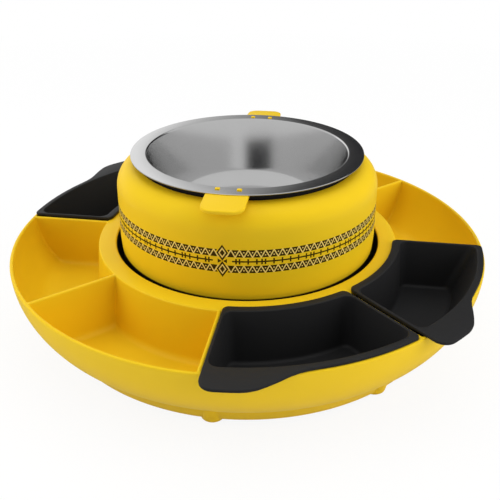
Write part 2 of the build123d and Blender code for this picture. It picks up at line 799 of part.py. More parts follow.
# Ring terminal for the earth wire under the first plate screw, and washers under the others
tag_x = plate_screw_circle * math.cos(math.radians(plate_screw_angle))
tag_y = plate_screw_circle * math.sin(math.radians(plate_screw_angle))
tail_x = tag_x + (tag_tail + barrel_length) * math.cos(math.radians(tag_angle))
tail_y = tag_y + (tag_tail + barrel_length) * math.sin(math.radians(tag_angle))
barrel_level = shield_under - barrel_radius
with BuildPart() as earth_tag:
    with BuildSketch(Plane.XY.offset(tag_under)):
        with Locations((tag_x, tag_y)):
            Circle(tag_radius)
        with Locations(Location((tag_x, tag_y, 0), (0, 0, tag_angle))):
            Rectangle(tag_tail + barrel_length / 2, tag_width, align=(Align.MIN, Align.CENTER))
        with Locations((tag_x, tag_y)):
            Circle(screw_radius + hole_clearance, mode=Mode.SUBTRACT)
    extrude(amount=blade_gauge)
    with BuildSketch(Plane(origin=(tail_x, tail_y, barrel_level),
                           z_dir=(tag_x - tail_x, tag_y - tail_y, 0))):
        Circle(barrel_radius)
    extrude(amount=barrel_length)
save(earth_tag, "earth_tag")

with BuildPart() as shield_washers:
    with BuildSketch(Plane.XY.offset(tag_under)):
        for place in range(1, plate_screw_count):
            turn = math.radians(plate_screw_angle + place * 360 / plate_screw_count)
            with Locations((plate_screw_circle * math.cos(turn), plate_screw_circle * math.sin(turn))):
                Circle(tag_radius)
                Circle(screw_radius + hole_clearance, mode=Mode.SUBTRACT)
    extrude(amount=blade_gauge)
save(shield_washers, "shield_washers")

# Thermostat held against the plate
thermostat_under = plate_under - thermostat_cap - thermostat_body
blade_level = thermostat_under + blade_rise
with BuildPart() as thermostat:
    with Locations((0, 0, plate_under - thermostat_cap)):
        Cylinder(thermostat_cap_radius, thermostat_cap, align=(Align.CENTER, Align.CENTER, Align.MIN))
    with Locations((0, 0, thermostat_under)):
        Cylinder(thermostat_radius, thermostat_body, align=(Align.CENTER, Align.CENTER, Align.MIN))
    with Locations((0, 0, blade_level)):
        Box(blade_width, 2 * (thermostat_radius + blade_length), blade_gauge)
save(thermostat, "thermostat")

bracket_top = plate_under - thermostat_cap
with BuildPart() as thermostat_bracket:
    with BuildSketch(Plane.XZ):
        for side in (-1, 1):
            with BuildLine():
                Polyline(
                    (0, bracket_top - bracket_gauge),
                    (side * (joggle_start + bracket_gauge), bracket_top - bracket_gauge),
                    (side * (joggle_start + bracket_gauge), plate_under - bracket_gauge),
                    (side * bracket_half_length, plate_under - bracket_gauge),
                    (side * bracket_half_length, plate_under),
                    (side * joggle_start, plate_under),
                    (side * joggle_start, bracket_top),
                    (0, bracket_top),
                    (0, bracket_top - bracket_gauge),
                )
            make_face()
    extrude(amount=bracket_width / 2, both=True)
    with BuildSketch(Plane.XY.offset(bracket_top - bracket_gauge)):
        Circle(joggle_start + bracket_gauge)
    extrude(amount=bracket_gauge)
    with Locations((0, 0, bracket_top)):
        Cylinder(thermostat_radius + hole_clearance, 4 * bracket_gauge, mode=Mode.SUBTRACT)
    with GridLocations(bracket_screw_spacing, 0, 2, 1):
        with Locations((0, 0, plate_under)):
            Cylinder(small_screw_radius + hole_clearance, 4 * bracket_gauge, mode=Mode.SUBTRACT)
save(thermostat_bracket, "thermostat_bracket")

with BuildPart() as bracket_screws:
    with GridLocations(bracket_screw_spacing, 0, 2, 1):
        with Locations((0, 0, plate_under - bracket_gauge - screw_head)):
            Cylinder(small_screw_head_radius, screw_head, align=(Align.CENTER, Align.CENTER, Align.MIN))
            Cylinder(small_screw_radius, screw_head + bracket_gauge + bracket_screw_bite,
                     align=(Align.CENTER, Align.CENTER, Align.MIN))
save(bracket_screws, "bracket_screws")

# Thermal fuse and the clip that presses it on the plate
fuse_level = plate_under - fuse_radius - fuse_clearance
clip_height = fuse_clearance + 2 * fuse_radius + clip_gauge
with BuildPart() as thermal_fuse:
    with Locations(Location((-fuse_offset, 0, fuse_level), (90, 0, 0))):
        Cylinder(fuse_radius, fuse_length)
save(thermal_fuse, "thermal_fuse")

with BuildPart() as fuse_clip:
    with Locations((-fuse_offset, 0, plate_under)):
        Box(clip_width, clip_length, clip_height, align=(Align.CENTER, Align.CENTER, Align.MAX))
    with Locations(Location((-fuse_offset, 0, fuse_level), (90, 0, 0))):
        Cylinder(fuse_radius + fixed_clearance, 2 * clip_length, mode=Mode.SUBTRACT)
save(fuse_clip, "fuse_clip")

# Cord gland, a soft grommet in the back wall
gland_inner_face = gland_face - gland_boss_depth
with BuildPart() as cord_gland:
    with BuildSketch(Plane(origin=(0, gland_face + gland_flange, gland_level), z_dir=(0, -1, 0))):
        Circle(gland_flange_radius)
    extrude(amount=gland_flange)
    fillet(cord_gland.faces().sort_by(Axis.Y)[-1].edges(), gland_flange * 0.5)
    with BuildSketch(Plane(origin=(0, gland_face, gland_level), z_dir=(0, -1, 0))):
        Circle(gland_body_radius)
    extrude(amount=gland_boss_depth)
    with BuildSketch(Plane(origin=(0, gland_inner_face, gland_level), z_dir=(0, -1, 0))):
        Circle(gland_flange_radius)
    extrude(amount=gland_flange)
    with Locations(Location((0, gland_face, gland_level), (90, 0, 0))):
        Cylinder(gland_bore, 4 * gland_boss_depth, mode=Mode.SUBTRACT)
save(cord_gland, "cord_gland")

# Terminal block
block_back = base_top_radius - block_from_wall
wire_level = centre_floor + ring_ledge_height / 2
block_ways = (-block_pitch, 0, block_pitch)
block_screw_rows = (block_back - block_screw_inset, block_back - block_depth + block_screw_inset)
with BuildPart() as terminal_block:
    with Locations((0, block_back - block_depth / 2, pan_floor)):
        Box(block_width, block_depth, block_height, align=(Align.CENTER, Align.CENTER, Align.MIN))
    for x in block_ways:
        with Locations(Location((x, block_back, wire_level), (90, 0, 0))):
            Cylinder(block_bore, 2 * block_bore_depth, mode=Mode.SUBTRACT)
        for y in block_screw_rows:
            with Locations((x, y, pan_floor + block_height)):
                Cylinder(block_screw_radius + fixed_clearance, 2 * block_screw_depth, mode=Mode.SUBTRACT)
save(terminal_block, "terminal_block")

with BuildPart() as terminal_screws:
    for x in block_ways:
        for y in block_screw_rows:
            with Locations((x, y, pan_floor + block_height - block_screw_depth)):
                Cylinder(block_screw_radius, block_screw_height,
                         align=(Align.CENTER, Align.CENTER, Align.MIN))
save(terminal_screws, "terminal_screws")


# Wires: straight runs joined by arcs as large as the runs allow
def arc_radii(points):
    """Radius at each corner: 0.45 of the shorter run over the tangent of half the turn."""
    corners = [Vector(*point) for point in points]
    radii = []
    for before, here, after in zip(corners, corners[1:], corners[2:]):
        arriving = here - before
        leaving = after - here
        half_turn = math.radians(arriving.get_angle(leaving) / 2)
        radii.append(0.45 * min(arriving.length, leaving.length) / math.tan(half_turn))
    return radii


def wire(points):
    """A round wire along the points."""
    with BuildPart() as run:
        with BuildLine() as route:
            FilletPolyline(*points, radius=arc_radii(points))
        with BuildSketch(Plane(origin=route.line @ 0, z_dir=route.line % 0)):
            Circle(wire_radius)
        sweep()
    return run


block_front = block_back - block_depth
wire_pitch = 3.6
wire_outside = ledge_radius + wire_to_collar
wire_inside = collar_inside - wire_from_collar
pin_right, pin_left = pin_spots
lead_level = pin_end - wire_stub
shaft_side = 1 / math.hypot(tail_x - tag_x, tail_y - tag_y)
along_x = (tail_x - tag_x) * shaft_side
along_y = (tail_y - tag_y) * shaft_side
live_wire = wire([
    (-block_pitch, block_front, wire_level),
    (-block_pitch, block_front - wire_stub, wire_level),
    (-wire_pitch, wire_outside, wire_level),
    (-wire_pitch, wire_inside, wire_level),
    (-6, 86, 17),
    (-13, 72, 27),
    (-20, 57, plate_under - 38),
    (-23.5, 38, plate_under - 26),
    (-24.4, 25, plate_under - 13),
    (-fuse_offset, 16, fuse_level),
    (-fuse_offset, fuse_length / 2, fuse_level),
])
save(live_wire, "live_wire")

neutral_wire = wire([
    (0, block_front, wire_level),
    (0, wire_inside, wire_level),
    (2, 84, 19),
    (7, 70, 32),
    (10.5, 59, lead_level - 7),
    (*pin_right, lead_level),
    (*pin_right, pin_end),
])
save(neutral_wire, "neutral_wire")

earth_wire = wire([
    (block_pitch, block_front, wire_level),
    (block_pitch, block_front - wire_stub, wire_level),
    (wire_pitch, wire_outside, wire_level),
    (wire_pitch, wire_inside, wire_level),
    (8, 88, 17),
    (16, 83, 30),
    (25, 82, barrel_level - 15),
    (31, 80, barrel_level - 4),
    (tail_x + wire_stub * along_x, tail_y + wire_stub * along_y, barrel_level),
    (tail_x, tail_y, barrel_level),
])
save(earth_wire, "earth_wire")

blade_end = thermostat_radius + blade_length
fuse_lead = wire([
    (-fuse_offset, -fuse_length / 2, fuse_level),
    (-fuse_offset, -18, fuse_level),
    (-16, -28, plate_under - 5),
    (-5, -30, blade_level + 1),
    (0, -23, blade_level),
    (0, -blade_end, blade_level),
])
save(fuse_lead, "fuse_lead")

element_lead = wire([
    (0, blade_end, blade_level),
    (0, 24, blade_level),
    (-2, 34, plate_under - 17),
    (-5, 42, plate_under - 28),
    (-9.5, 50, lead_level - 6),
    (*pin_left, lead_level),
    (*pin_left, pin_end),
])
save(element_lead, "element_lead")

# Serving bowl
bowl_under = plate_top + plate_to_bowl_clearance
bowl_floor_radius = mouth_radius - bowl_draft
tongue_root_radius = mouth_radius + sheet_gauge + tongue_to_bowl
lug_radius = tongue_root_radius + lug_setback
with BuildPart() as serving_bowl:
    with BuildSketch(Plane.XZ) as bowl_outside:
        with BuildLine():
            Polyline(
                (0, bowl_under),
                (bowl_floor_radius + sheet_gauge, bowl_under),
                (mouth_radius + sheet_gauge, flange_under),
                (flange_radius, flange_under),
                (flange_radius, flange_top),
                (0, flange_top),
                (0, bowl_under),
            )
        make_face()
        fillet(nearest(bowl_outside.vertices(), bowl_floor_radius + sheet_gauge, bowl_under),
               bowl_corner + sheet_gauge)
        fillet([nearest(bowl_outside.vertices(), flange_radius, flange_top),
                nearest(bowl_outside.vertices(), flange_radius, flange_under)], hem_round)
    revolve(axis=Axis.Z)
    with BuildSketch(Plane.XZ) as bowl_inside:
        with BuildLine():
            Polyline(
                (0, bowl_under + sheet_gauge),
                (bowl_floor_radius, bowl_under + sheet_gauge),
                (mouth_radius, flange_top),
                (0, flange_top),
                (0, bowl_under + sheet_gauge),
            )
        make_face()
        fillet(nearest(bowl_inside.vertices(), bowl_floor_radius, bowl_under + sheet_gauge), bowl_corner)
    revolve(axis=Axis.Z, mode=Mode.SUBTRACT)
    mouth_edge = serving_bowl.edges().filter_by(GeomType.CIRCLE).filter_by_position(
        Axis.Z, flange_top - 0.01, flange_top + 0.01).sort_by(SortBy.RADIUS)[0]
    fillet(mouth_edge, mouth_round)
    for side in (-1, 1):
        with Locations((0, side * lug_radius, flange_top)):
            with GridLocations(lug_spacing, 0, 2, 1):
                Box(lug_width + 2 * fixed_clearance, lug_depth + 2 * fixed_clearance, 4 * sheet_gauge,
                    mode=Mode.SUBTRACT)
save(serving_bowl, "serving_bowl")

# Handles of the serving bowl
tongue_tip = flange_radius + tongue_reach
for side, name in ((-1, "bowl_handle_front"), (1, "bowl_handle_rear")):
    with BuildPart() as bowl_handle:
        with BuildSketch(Plane(origin=(0, 0, 0), x_dir=(0, side, 0), z_dir=(side, 0, 0))):
            with BuildLine():
                Polyline(
                    (tongue_root_radius, flange_under),
                    (flange_radius, flange_under),
                    (tongue_tip, flange_under - tongue_droop),
                    (tongue_tip, flange_under - tongue_droop - tongue_gauge),
                    (flange_radius, handle_under),
                    (tongue_root_radius, handle_under),
                    (tongue_root_radius, flange_under),
                )
            make_face()
        extrude(amount=handle_width / 2, both=True)
        tip_edges = bowl_handle.edges().filter_by(Axis.Z).sort_by(Axis.Y, reverse=side > 0)[:2]
        fillet(tip_edges, tongue_corner)
        with Locations((0, side * lug_radius, flange_under)):
            with GridLocations(lug_spacing, 0, 2, 1):
                Box(lug_width, lug_depth, sheet_gauge + lug_head,
                    align=(Align.CENTER, Align.CENTER, Align.MIN))
    save(bowl_handle, name)
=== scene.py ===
"""Dresses the heated pot and its revolving topping tray for rendering.

Shapes are drawn in millimetres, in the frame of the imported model: +Z up from
the table, the axis of rotation through the origin, the front towards -Y.
Angles round the axis count from the front, anticlockwise seen from above.
"""

import functools
import json
import math

import bmesh
import bpy
from bpy.props import FloatProperty, FloatVectorProperty, IntProperty
from mathutils import Matrix, Vector


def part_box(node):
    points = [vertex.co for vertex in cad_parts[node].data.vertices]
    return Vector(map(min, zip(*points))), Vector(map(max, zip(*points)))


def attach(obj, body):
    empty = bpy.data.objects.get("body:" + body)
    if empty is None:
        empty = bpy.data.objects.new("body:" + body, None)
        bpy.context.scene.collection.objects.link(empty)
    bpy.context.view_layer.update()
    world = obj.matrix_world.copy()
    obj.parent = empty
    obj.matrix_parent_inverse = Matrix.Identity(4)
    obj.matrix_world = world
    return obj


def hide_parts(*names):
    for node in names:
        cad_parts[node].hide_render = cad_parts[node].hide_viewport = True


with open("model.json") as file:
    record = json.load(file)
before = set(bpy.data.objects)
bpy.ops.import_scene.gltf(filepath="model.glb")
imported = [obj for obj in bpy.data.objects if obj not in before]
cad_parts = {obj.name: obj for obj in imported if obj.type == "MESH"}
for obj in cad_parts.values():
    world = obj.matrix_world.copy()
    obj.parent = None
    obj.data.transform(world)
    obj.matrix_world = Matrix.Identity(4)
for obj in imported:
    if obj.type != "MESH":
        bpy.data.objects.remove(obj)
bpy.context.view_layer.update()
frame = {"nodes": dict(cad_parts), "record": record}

bl_info = {
    "name": "Heated pot with revolving tray",
    "version": (1, 0, 0),
    "blender": (4, 5, 0),
    "location": "View3D > Sidebar > Pot",
    "description": "Models and finishes a heated serving pot in a revolving tray of compartments",
    "category": "Object",
}

MM = 0.001
ROUND_STEPS = 256
SECTORS = 8
SECTOR = math.tau / SECTORS
SHARP_ANGLE = math.radians(32)
ARC_STEP = math.radians(11)
LOOSE_SECTORS = (0, 1, 4, 5)
WELD = 0.004
FOOT_CIRCLE = 161.0
ROLLER_CIRCLE = 150.0
PAN_BOTTOM, PAN_TOP = 4.2, 18.0
LIP_THICKNESS = 2.4
CORNER_STEPS = 6
CLOUD_SCALE, SHEEN_SCALE, GRAIN_SCALE = 14, 45, 1100
SHEEN_SWING, GRAIN_BUMP, GRAIN_DEPTH = 0.08, 0.35, 0.00002


def extent(node):
    """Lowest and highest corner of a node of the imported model, in millimetres."""
    low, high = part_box(node)
    return low / MM, high / MM


rim_level = extent("tray")[1].z
housing_low, housing_high = extent("housing_shell")
lip_top = extent("container_1")[1].z
lip_under = lip_top - LIP_THICKNESS


class Value:
    """One output of a material's nodes, so that the maths on it reads as an expression."""

    def __init__(self, paint, socket):
        self.paint = paint
        self.socket = socket

    def maths(self, operation, *others):
        return self.paint.node("ShaderNodeMath", self, *others, settings={"operation": operation})

    __add__ = __radd__ = functools.partialmethod(maths, "ADD")
    __sub__ = functools.partialmethod(maths, "SUBTRACT")
    __mul__ = __rmul__ = functools.partialmethod(maths, "MULTIPLY")
    __truediv__ = functools.partialmethod(maths, "DIVIDE")
    __lt__ = functools.partialmethod(maths, "LESS_THAN")
    __gt__ = functools.partialmethod(maths, "GREATER_THAN")
    __abs__ = functools.partialmethod(maths, "ABSOLUTE")
    __and__ = functools.partialmethod(maths, "MINIMUM")
    __or__ = functools.partialmethod(maths, "MAXIMUM")
    nearest_whole = functools.partialmethod(maths, "ROUND")
    root = functools.partialmethod(maths, "SQRT")

    def __rsub__(self, other):
        return self.paint.node("ShaderNodeMath", other, self, settings={"operation": "SUBTRACT"})

    def clamped(self):
        """The value held between 0 and 1."""
        return (self & 1.0) | 0.0


class Paint:
    """A material or a world whose nodes are written one call at a time."""

    def __init__(self, name, library="materials", output="ShaderNodeOutputMaterial"):
        self.material = getattr(bpy.data, library).new(name)
        self.material.use_nodes = True
        self.tree = self.material.node_tree
        self.tree.nodes.clear()
        self.output = self.tree.nodes.new(output)

    def feed(self, socket, value):
        if isinstance(value, Value):
            self.tree.links.new(value.socket, socket)
        elif socket.type == "RGBA" and len(value) == 3:
            socket.default_value = (*value, 1)
        else:
            socket.default_value = value

    def node(self, kind, *values, settings=None, output=0, **named):
        """Adds a node: its settings first, then its inputs by place or by name."""
        made = self.tree.nodes.new(kind)
        for key, value in (settings or {}).items():
            if key == "stops":
                self.set_stops(made.color_ramp, value)
            else:
                setattr(made, key, value)
        for place, value in enumerate(values):
            self.feed(made.inputs[place], value)
        for key, value in named.items():
            self.feed(made.inputs[key.replace("_", " ")], value)
        return Value(self, made.outputs[output])

    def set_stops(self, ramp, stops):
        while len(ramp.elements) < len(stops):
            ramp.elements.new(0.5)
        for element, (place, colour) in zip(ramp.elements, stops):
            element.position = place
            element.color = (*colour, 1)

    def place(self):
        """Object coordinates, in metres."""
        return self.node("ShaderNodeTexCoord", output=3)

    def split(self, vector):
        parts = self.node("ShaderNodeSeparateXYZ", vector)
        return [Value(self, socket) for socket in parts.socket.node.outputs]

    def noise(self, vector, scale, detail=2.0, roughness=0.5):
        return self.node("ShaderNodeTexNoise", Vector=vector, Scale=scale, Detail=detail,
                         Roughness=roughness)

    def blend(self, share, first, second):
        """A colour between two others."""
        mixed = self.node("ShaderNodeMix", share, settings={"data_type": "RGBA"})
        self.feed(mixed.socket.node.inputs[6], first)
        self.feed(mixed.socket.node.inputs[7], second)
        return Value(self, mixed.socket.node.outputs[2])

    def bump(self, height, strength, distance):
        return self.node("ShaderNodeBump", Strength=strength, Distance=distance, Height=height)

    def rays(self):
        """Whether a ray comes from the camera, and whether from a mirror or through glass."""
        outputs = self.node("ShaderNodeLightPath").socket.node.outputs
        camera, glossy, through = (Value(self, outputs[name]) for name in (
            "Is Camera Ray", "Is Glossy Ray", "Is Transmission Ray"))
        return camera, glossy | through

    def done(self, shader):
        self.tree.links.new(shader.socket, self.output.inputs["Surface"])
        return self.material

    def surface(self, **sockets):
        return self.done(self.node("ShaderNodeBsdfPrincipled", **sockets))


def shade(colour, factor):
    """The colour made darker or lighter."""
    return [min(1, part * factor) for part in colour]


def wash(paint, place, colour, spread):
    """The colour, a little lighter and darker over the piece as moulded plastic is."""
    cloud = paint.noise(place, CLOUD_SCALE, 3)
    return paint.blend(cloud, shade(colour, 1 - spread), shade(colour, 1 + spread))


def moulded_plastic(name, colour, roughness, spread=0.05, grain=GRAIN_SCALE, depth=GRAIN_DEPTH,
                    shine=0.5):
    """Moulded plastic: fine grain, faint cloudiness and a slightly uneven gloss."""
    paint = Paint(name)
    place = paint.place()
    fine = paint.noise(place, grain, 2)
    broad = paint.noise(place, SHEEN_SCALE, 2)
    return paint.surface(
        Base_Color=wash(paint, place, colour, spread),
        Roughness=roughness + (broad - 0.5) * SHEEN_SWING + (fine - 0.5) * 0.05,
        Specular_IOR_Level=shine,
        Normal=paint.bump(fine, GRAIN_BUMP, depth),
    )


def printed_band(paint, place, band):
    """Share of dark print and of pale print at each point of the housing."""
    x, y, z = paint.split(place)
    turn = x.maths("ARCTAN2", 0 - y) - band.band_turn
    half_round = band.repeats / 2
    steps = turn * (half_round / math.pi)
    along = abs(steps - (steps / half_round).nearest_whole() * half_round)
    pitch = band.band_radius / MM * math.tau / band.repeats
    across = along * pitch
    level = abs(z / MM - rim_level - band.band_height / MM)

    # One row of triangles, mirrored about the middle line, each with a dot but the first
    row = band.row_width / MM
    spot_share, first_dotted = 0.32, 1.25
    up = level - band.row_start / MM
    in_row = (up > 0) & (up < row)
    off = abs(along - along.nearest_whole()) * pitch
    slant = math.hypot(row, pitch / 2)
    to_zigzag = abs(off * row + up * (pitch / 2) - row * pitch / 2) / slant
    cut = band.zigzag_width / MM / 2
    standing = up - row * spot_share
    hanging = up - row * (1 - spot_share)
    side = pitch / 2 - off
    dots = ((off * off + standing * standing).root()
            & (side * side + hanging * hanging).root()) < band.dot_radius / MM
    plain = dots & (along > first_dotted)
    rows = in_row & (to_zigzag > cut) & (1 - plain)

    # Two nested diamonds, one above the other, in a clear field
    tall, wide = band.diamond_height / MM / 2, band.diamond_width / MM / 2
    inner_edge, core_edge, wing_edge, field_edge = 0.66, 0.42, 1.08, 1.22
    lozenge = across / wide + abs(level - band.diamond_offset / MM) / tall
    frame_line = (lozenge < 1.0) & (lozenge > inner_edge)
    rows = rows & (1 - (lozenge < field_edge))

    # Small side triangles, and the middle line with its ticks, some of them double
    wing_start, wing_end, wing_slope = 0.7, 3.4, 0.62
    wings = ((across > wing_start) & (across < wing_end)
             & ((level - (across - 0.5) * wing_slope) < 0) & (lozenge > wing_edge))
    line_start, first_tick, first_extra, next_extra, extra_every = 7.0, 1.7, 1.6, 4.6, 6
    line_half = band.line_width / MM / 2
    extra = (along - next_extra) / extra_every
    to_extra = abs(extra - extra.nearest_whole()) * extra_every & abs(along - first_extra)
    tick = ((off < line_half) & (along > first_tick)) | (to_extra * pitch < line_half)
    lines = (level < line_half) | (tick & (level < band.tick_height / MM / 2))

    dark = rows | frame_line | (lozenge < core_edge) | wings | (lines & (across > line_start))
    zigzag = in_row & (to_zigzag < cut + 0.02)
    inlay = (lozenge < inner_edge) & (lozenge > core_edge)
    pale = (zigzag | (in_row & plain) | inlay) & (1 - dark)
    return dark, pale


def housing_plastic(name, colour, roughness, band):
    """The yellow plastic with the printed band round it, and near black painted shade below the
    tray's rim.
    """
    paint = Paint(name)
    place = paint.place()
    fine = paint.noise(place, GRAIN_SCALE, 2)
    broad = paint.noise(place, SHEEN_SCALE, 2)
    dark, pale = printed_band(paint, place, band)
    pale_share, least_ink, ink_roughness = 0.65, 0.93, 0.12
    ground = paint.blend(pale * pale_share, wash(paint, place, colour, 0.05), band.pale_print)
    worn = paint.noise(place, 900, 2)
    printed = paint.blend(dark * (least_ink + worn * (1 - least_ink)), ground, band.dark_print)

    # Painted shade: inside the tray, from a little below the rim down, the housing is coloured near
    # black to stand for the shade in the gap round it
    # painted_gap_shade is the painted shade mask, 1 below the drop under the rim
    painted_gap_shade = (rim_level - band.painted_shade_drop / MM - paint.split(place)[2] / MM).clamped()
    return paint.surface(
        Base_Color=paint.blend(painted_gap_shade, printed, band.painted_shade_colour),
        Roughness=roughness + (broad - 0.5) * SHEEN_SWING + dark * ink_roughness,
        Specular_IOR_Level=0.10,
        Normal=paint.bump(fine * 0.7 + dark * 0.5, GRAIN_BUMP, GRAIN_DEPTH),
    )


def polished_steel(name, colour, roughness, rings, streak):
    """Steel with the fine rings that polishing leaves round the axis."""
    paint = Paint(name)
    place = paint.place()
    x, y, z = paint.split(place)
    drawn = paint.node("ShaderNodeCombineXYZ", (x * x + y * y).root(), z, 0.0)
    ring = paint.noise(drawn, 1400, 3)
    smudge = paint.noise(place, 22, 3, 0.6)
    return paint.surface(
        Base_Color=paint.blend(smudge, shade(colour, 0.93), colour),
        Metallic=1.0,
        Roughness=roughness + (ring - 0.5) * streak + (smudge - 0.5) * 0.06,
        Normal=paint.bump(ring, rings, 0.00002),
    )


def sheet_metal(name, colour, roughness, scale=(300, 300, 300)):
    """Plain metal with fine uneven grain."""
    paint = Paint(name)
    place = paint.place()
    grain = paint.noise(paint.node("ShaderNodeMapping", place, Scale=scale), 3, 3)
    return paint.surface(
        Base_Color=paint.blend(grain, shade(colour, 0.85), colour),
        Metallic=1.0,
        Roughness=roughness + (grain - 0.5) * 0.12,
        Normal=paint.bump(grain, 0.15, 0.00003),
    )


def arc_points(centre, radius, start, end, steps):
    """Points on an arc, both ends included, angles in radians."""
    angles = [start + (end - start) * step / steps for step in range(steps + 1)]
    return [(centre[0] + radius * math.cos(angle), centre[1] + radius * math.sin(angle))
            for angle in angles]


def quarter(steps):
    """Sine and cosine of angles from 0 to 90 degrees in even steps."""
    angles = [math.radians(90) * step / steps for step in range(steps + 1)]
    return [(math.sin(angle), math.cos(angle)) for angle in angles]


def rounded(corners):
    """A closed outline whose corners (x, y, radius) are drawn as arcs."""
    points = []
    for place, (x, y, radius) in enumerate(corners):
        here = Vector((x, y))
        if radius == 0:
            points.append((x, y))
            continue
        back = (Vector(corners[place - 1][:2]) - here).normalized()
        ahead = (Vector(corners[(place + 1) % len(corners)][:2]) - here).normalized()
        half = back.angle(ahead) / 2
        centre = here + (back + ahead).normalized() * (radius / math.sin(half))
        first = here + back * (radius / math.tan(half)) - centre
        last = here + ahead * (radius / math.tan(half)) - centre
        start = math.atan2(first.y, first.x)
        turn = math.atan2(last.y, last.x) - start
        turn = (turn + math.pi) % math.tau - math.pi
        steps = max(2, math.ceil(abs(turn) / ARC_STEP))
        points += arc_points(centre, radius, start, start + turn, steps)
    return points


def spin_ring(mesh, outline, closed=True, steps=ROUND_STEPS):
    """Spins an outline of (radius, height) points round the upright axis."""
    corners = [mesh.verts.new((0, -radius, height)) for radius, height in outline]
    following = corners[1:] + corners[:1] if closed else corners[1:]
    edges = [mesh.edges.new(pair) for pair in zip(corners, following)]
    bmesh.ops.spin(mesh, geom=corners + edges, cent=(0, 0, 0), axis=(0, 0, 1), dvec=(0, 0, 0),
                   angle=math.tau, steps=steps, use_merge=True, use_duplicate=False)


def stack_rings(mesh, rings, open_start=False):
    """Extrudes a ring through the others, which have as many points, and caps the ends."""
    corners = [mesh.verts.new(point) for point in rings[0]]
    edges = [mesh.edges.new(pair) for pair in zip(corners, corners[1:] + corners[:1])]
    if not open_start:
        bmesh.ops.contextual_create(mesh, geom=corners)
    for ring in rings[1:]:
        made = bmesh.ops.extrude_edge_only(mesh, edges=edges)["geom"]
        fresh = {item for item in made if isinstance(item, bmesh.types.BMVert)}
        twins = []
        for corner, point in zip(corners, ring):
            twin = next(edge.other_vert(corner) for edge in corner.link_edges
                        if edge.other_vert(corner) in fresh)
            twin.co = point
            twins.append(twin)
        edges = [mesh.edges.get(pair) for pair in zip(twins, twins[1:] + twins[:1])]
        corners = twins
    bmesh.ops.contextual_create(mesh, geom=corners)


def new_object(name, data):
    """Puts an object into the scene."""
    made = bpy.data.objects.new(name, data)
    bpy.context.scene.collection.objects.link(made)
    return made


def smooth_object(name, mesh, material):
    """Makes the drawn mesh an object of the scene, shaded smooth."""
    for face in mesh.faces:
        face.smooth = True
    data = bpy.data.meshes.new(name)
    mesh.to_mesh(data)
    mesh.free()
    data.materials.append(material)
    return new_object(name, data)


def finish_piece(name, mesh, material, body, node):
    """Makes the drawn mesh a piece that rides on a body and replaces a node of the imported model."""
    bmesh.ops.remove_doubles(mesh, verts=mesh.verts, dist=WELD)
    bmesh.ops.dissolve_degenerate(mesh, edges=mesh.edges, dist=WELD)
    bmesh.ops.recalc_face_normals(mesh, faces=mesh.faces)
    bmesh.ops.scale(mesh, vec=(MM, MM, MM), verts=mesh.verts)
    for edge in mesh.edges:
        edge.smooth = edge.calc_face_angle(0) < SHARP_ANGLE
    bmesh.ops.triangulate(mesh, faces=[face for face in mesh.faces if len(face.verts) > 4])
    piece = smooth_object(name, mesh, material)
    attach(piece, body)
    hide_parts(node)


def turned(mesh, verts, angle, axis="Z"):
    """Turns vertices about an axis through the origin."""
    bmesh.ops.rotate(mesh, verts=verts, cent=(0, 0, 0), matrix=Matrix.Rotation(angle, 3, axis))


def repeat_round(mesh, draw, count, first=0.0, out=0.0):
    """Draws a form several times, moved out to the front and turned evenly round the axis."""
    for number in range(count):
        before = set(mesh.verts)
        draw(mesh)
        fresh = [vert for vert in mesh.verts if vert not in before]
        bmesh.ops.translate(mesh, vec=(0, -out, 0), verts=fresh)
        turned(mesh, fresh, first + number * math.tau / count)


def block(mesh, size, centre):
    """Adds a box and returns its corners."""
    corners = bmesh.ops.create_cube(mesh, size=1.0)["verts"]
    bmesh.ops.scale(mesh, vec=size, verts=corners)
    bmesh.ops.translate(mesh, vec=centre, verts=corners)
    return corners


def soften(mesh, edges, radius):
    """Rounds sharp edges."""
    bmesh.ops.bevel(mesh, geom=edges, offset=radius, offset_type="OFFSET", segments=3, profile=0.5,
                    affect="EDGES", material=-1)


def score(mesh, place, normal):
    """Adds edges where a plane crosses the mesh."""
    bmesh.ops.bisect_plane(mesh, geom=mesh.verts[:] + mesh.edges[:] + mesh.faces[:], plane_co=place,
                           plane_no=normal, dist=0.001)


def polar(radius, angle):
    """Point at this radius, the angle in radians anticlockwise from the front."""
    return radius * math.sin(angle), -radius * math.cos(angle)


def corner_arc(radius, side, bend, inside):
    """The corner between a sector's first side and a circle, and the angle of its centre."""
    reach = radius + bend if inside else radius - bend
    lean = math.asin((side + bend) / reach)
    centre = Vector(polar(reach, lean))
    first = lean + math.pi if inside else lean
    last = math.radians(270) if inside else math.radians(-90)
    points = []
    for step in range(CORNER_STEPS + 1):
        heading = first + (last - first) * step / CORNER_STEPS
        points.append(centre + Vector(polar(bend, heading)))
    return points, lean


def mirrored(points):
    """The points mirrored from one side of the first sector to the other."""
    return [Vector(polar(math.hypot(x, y), SECTOR - math.atan2(x, -y))) for x, y in points]


def sector_ring(inner, outer_at, side, inner_bend, outer_bend, height, arc_steps, far_bend=None):
    """The outline of one compartment; outer_at gives the outer radius at an angle."""
    sharp = 1e-4
    inner_bend, outer_bend = max(inner_bend, sharp), max(outer_bend, sharp)
    far_bend = outer_bend if far_bend is None else max(far_bend, sharp)
    inner_corner, inner_lean = corner_arc(inner, side, inner_bend, True)
    near_corner, near_lean = corner_arc(outer_at(0), side, outer_bend, False)
    far_corner, far_lean = corner_arc(outer_at(SECTOR), side, far_bend, False)
    points = []
    for step in range(arc_steps + 1):
        angle = inner_lean + (SECTOR - 2 * inner_lean) * step / arc_steps
        points.append(Vector(polar(inner, angle)))
    points += mirrored(inner_corner)[1:]
    points += mirrored(far_corner)[::-1]
    for step in range(1, arc_steps):
        angle = SECTOR - far_lean - (SECTOR - far_lean - near_lean) * step / arc_steps
        points.append(Vector(polar(outer_at(angle), angle)))
    points += near_corner
    points += inner_corner[::-1][:-1]
    return [(x, y, height) for x, y in points]


def length(name, description, default):
    """A size that the user can change, in the scene's unit of length."""
    return FloatProperty(name=name, description=description, default=default, unit="LENGTH")


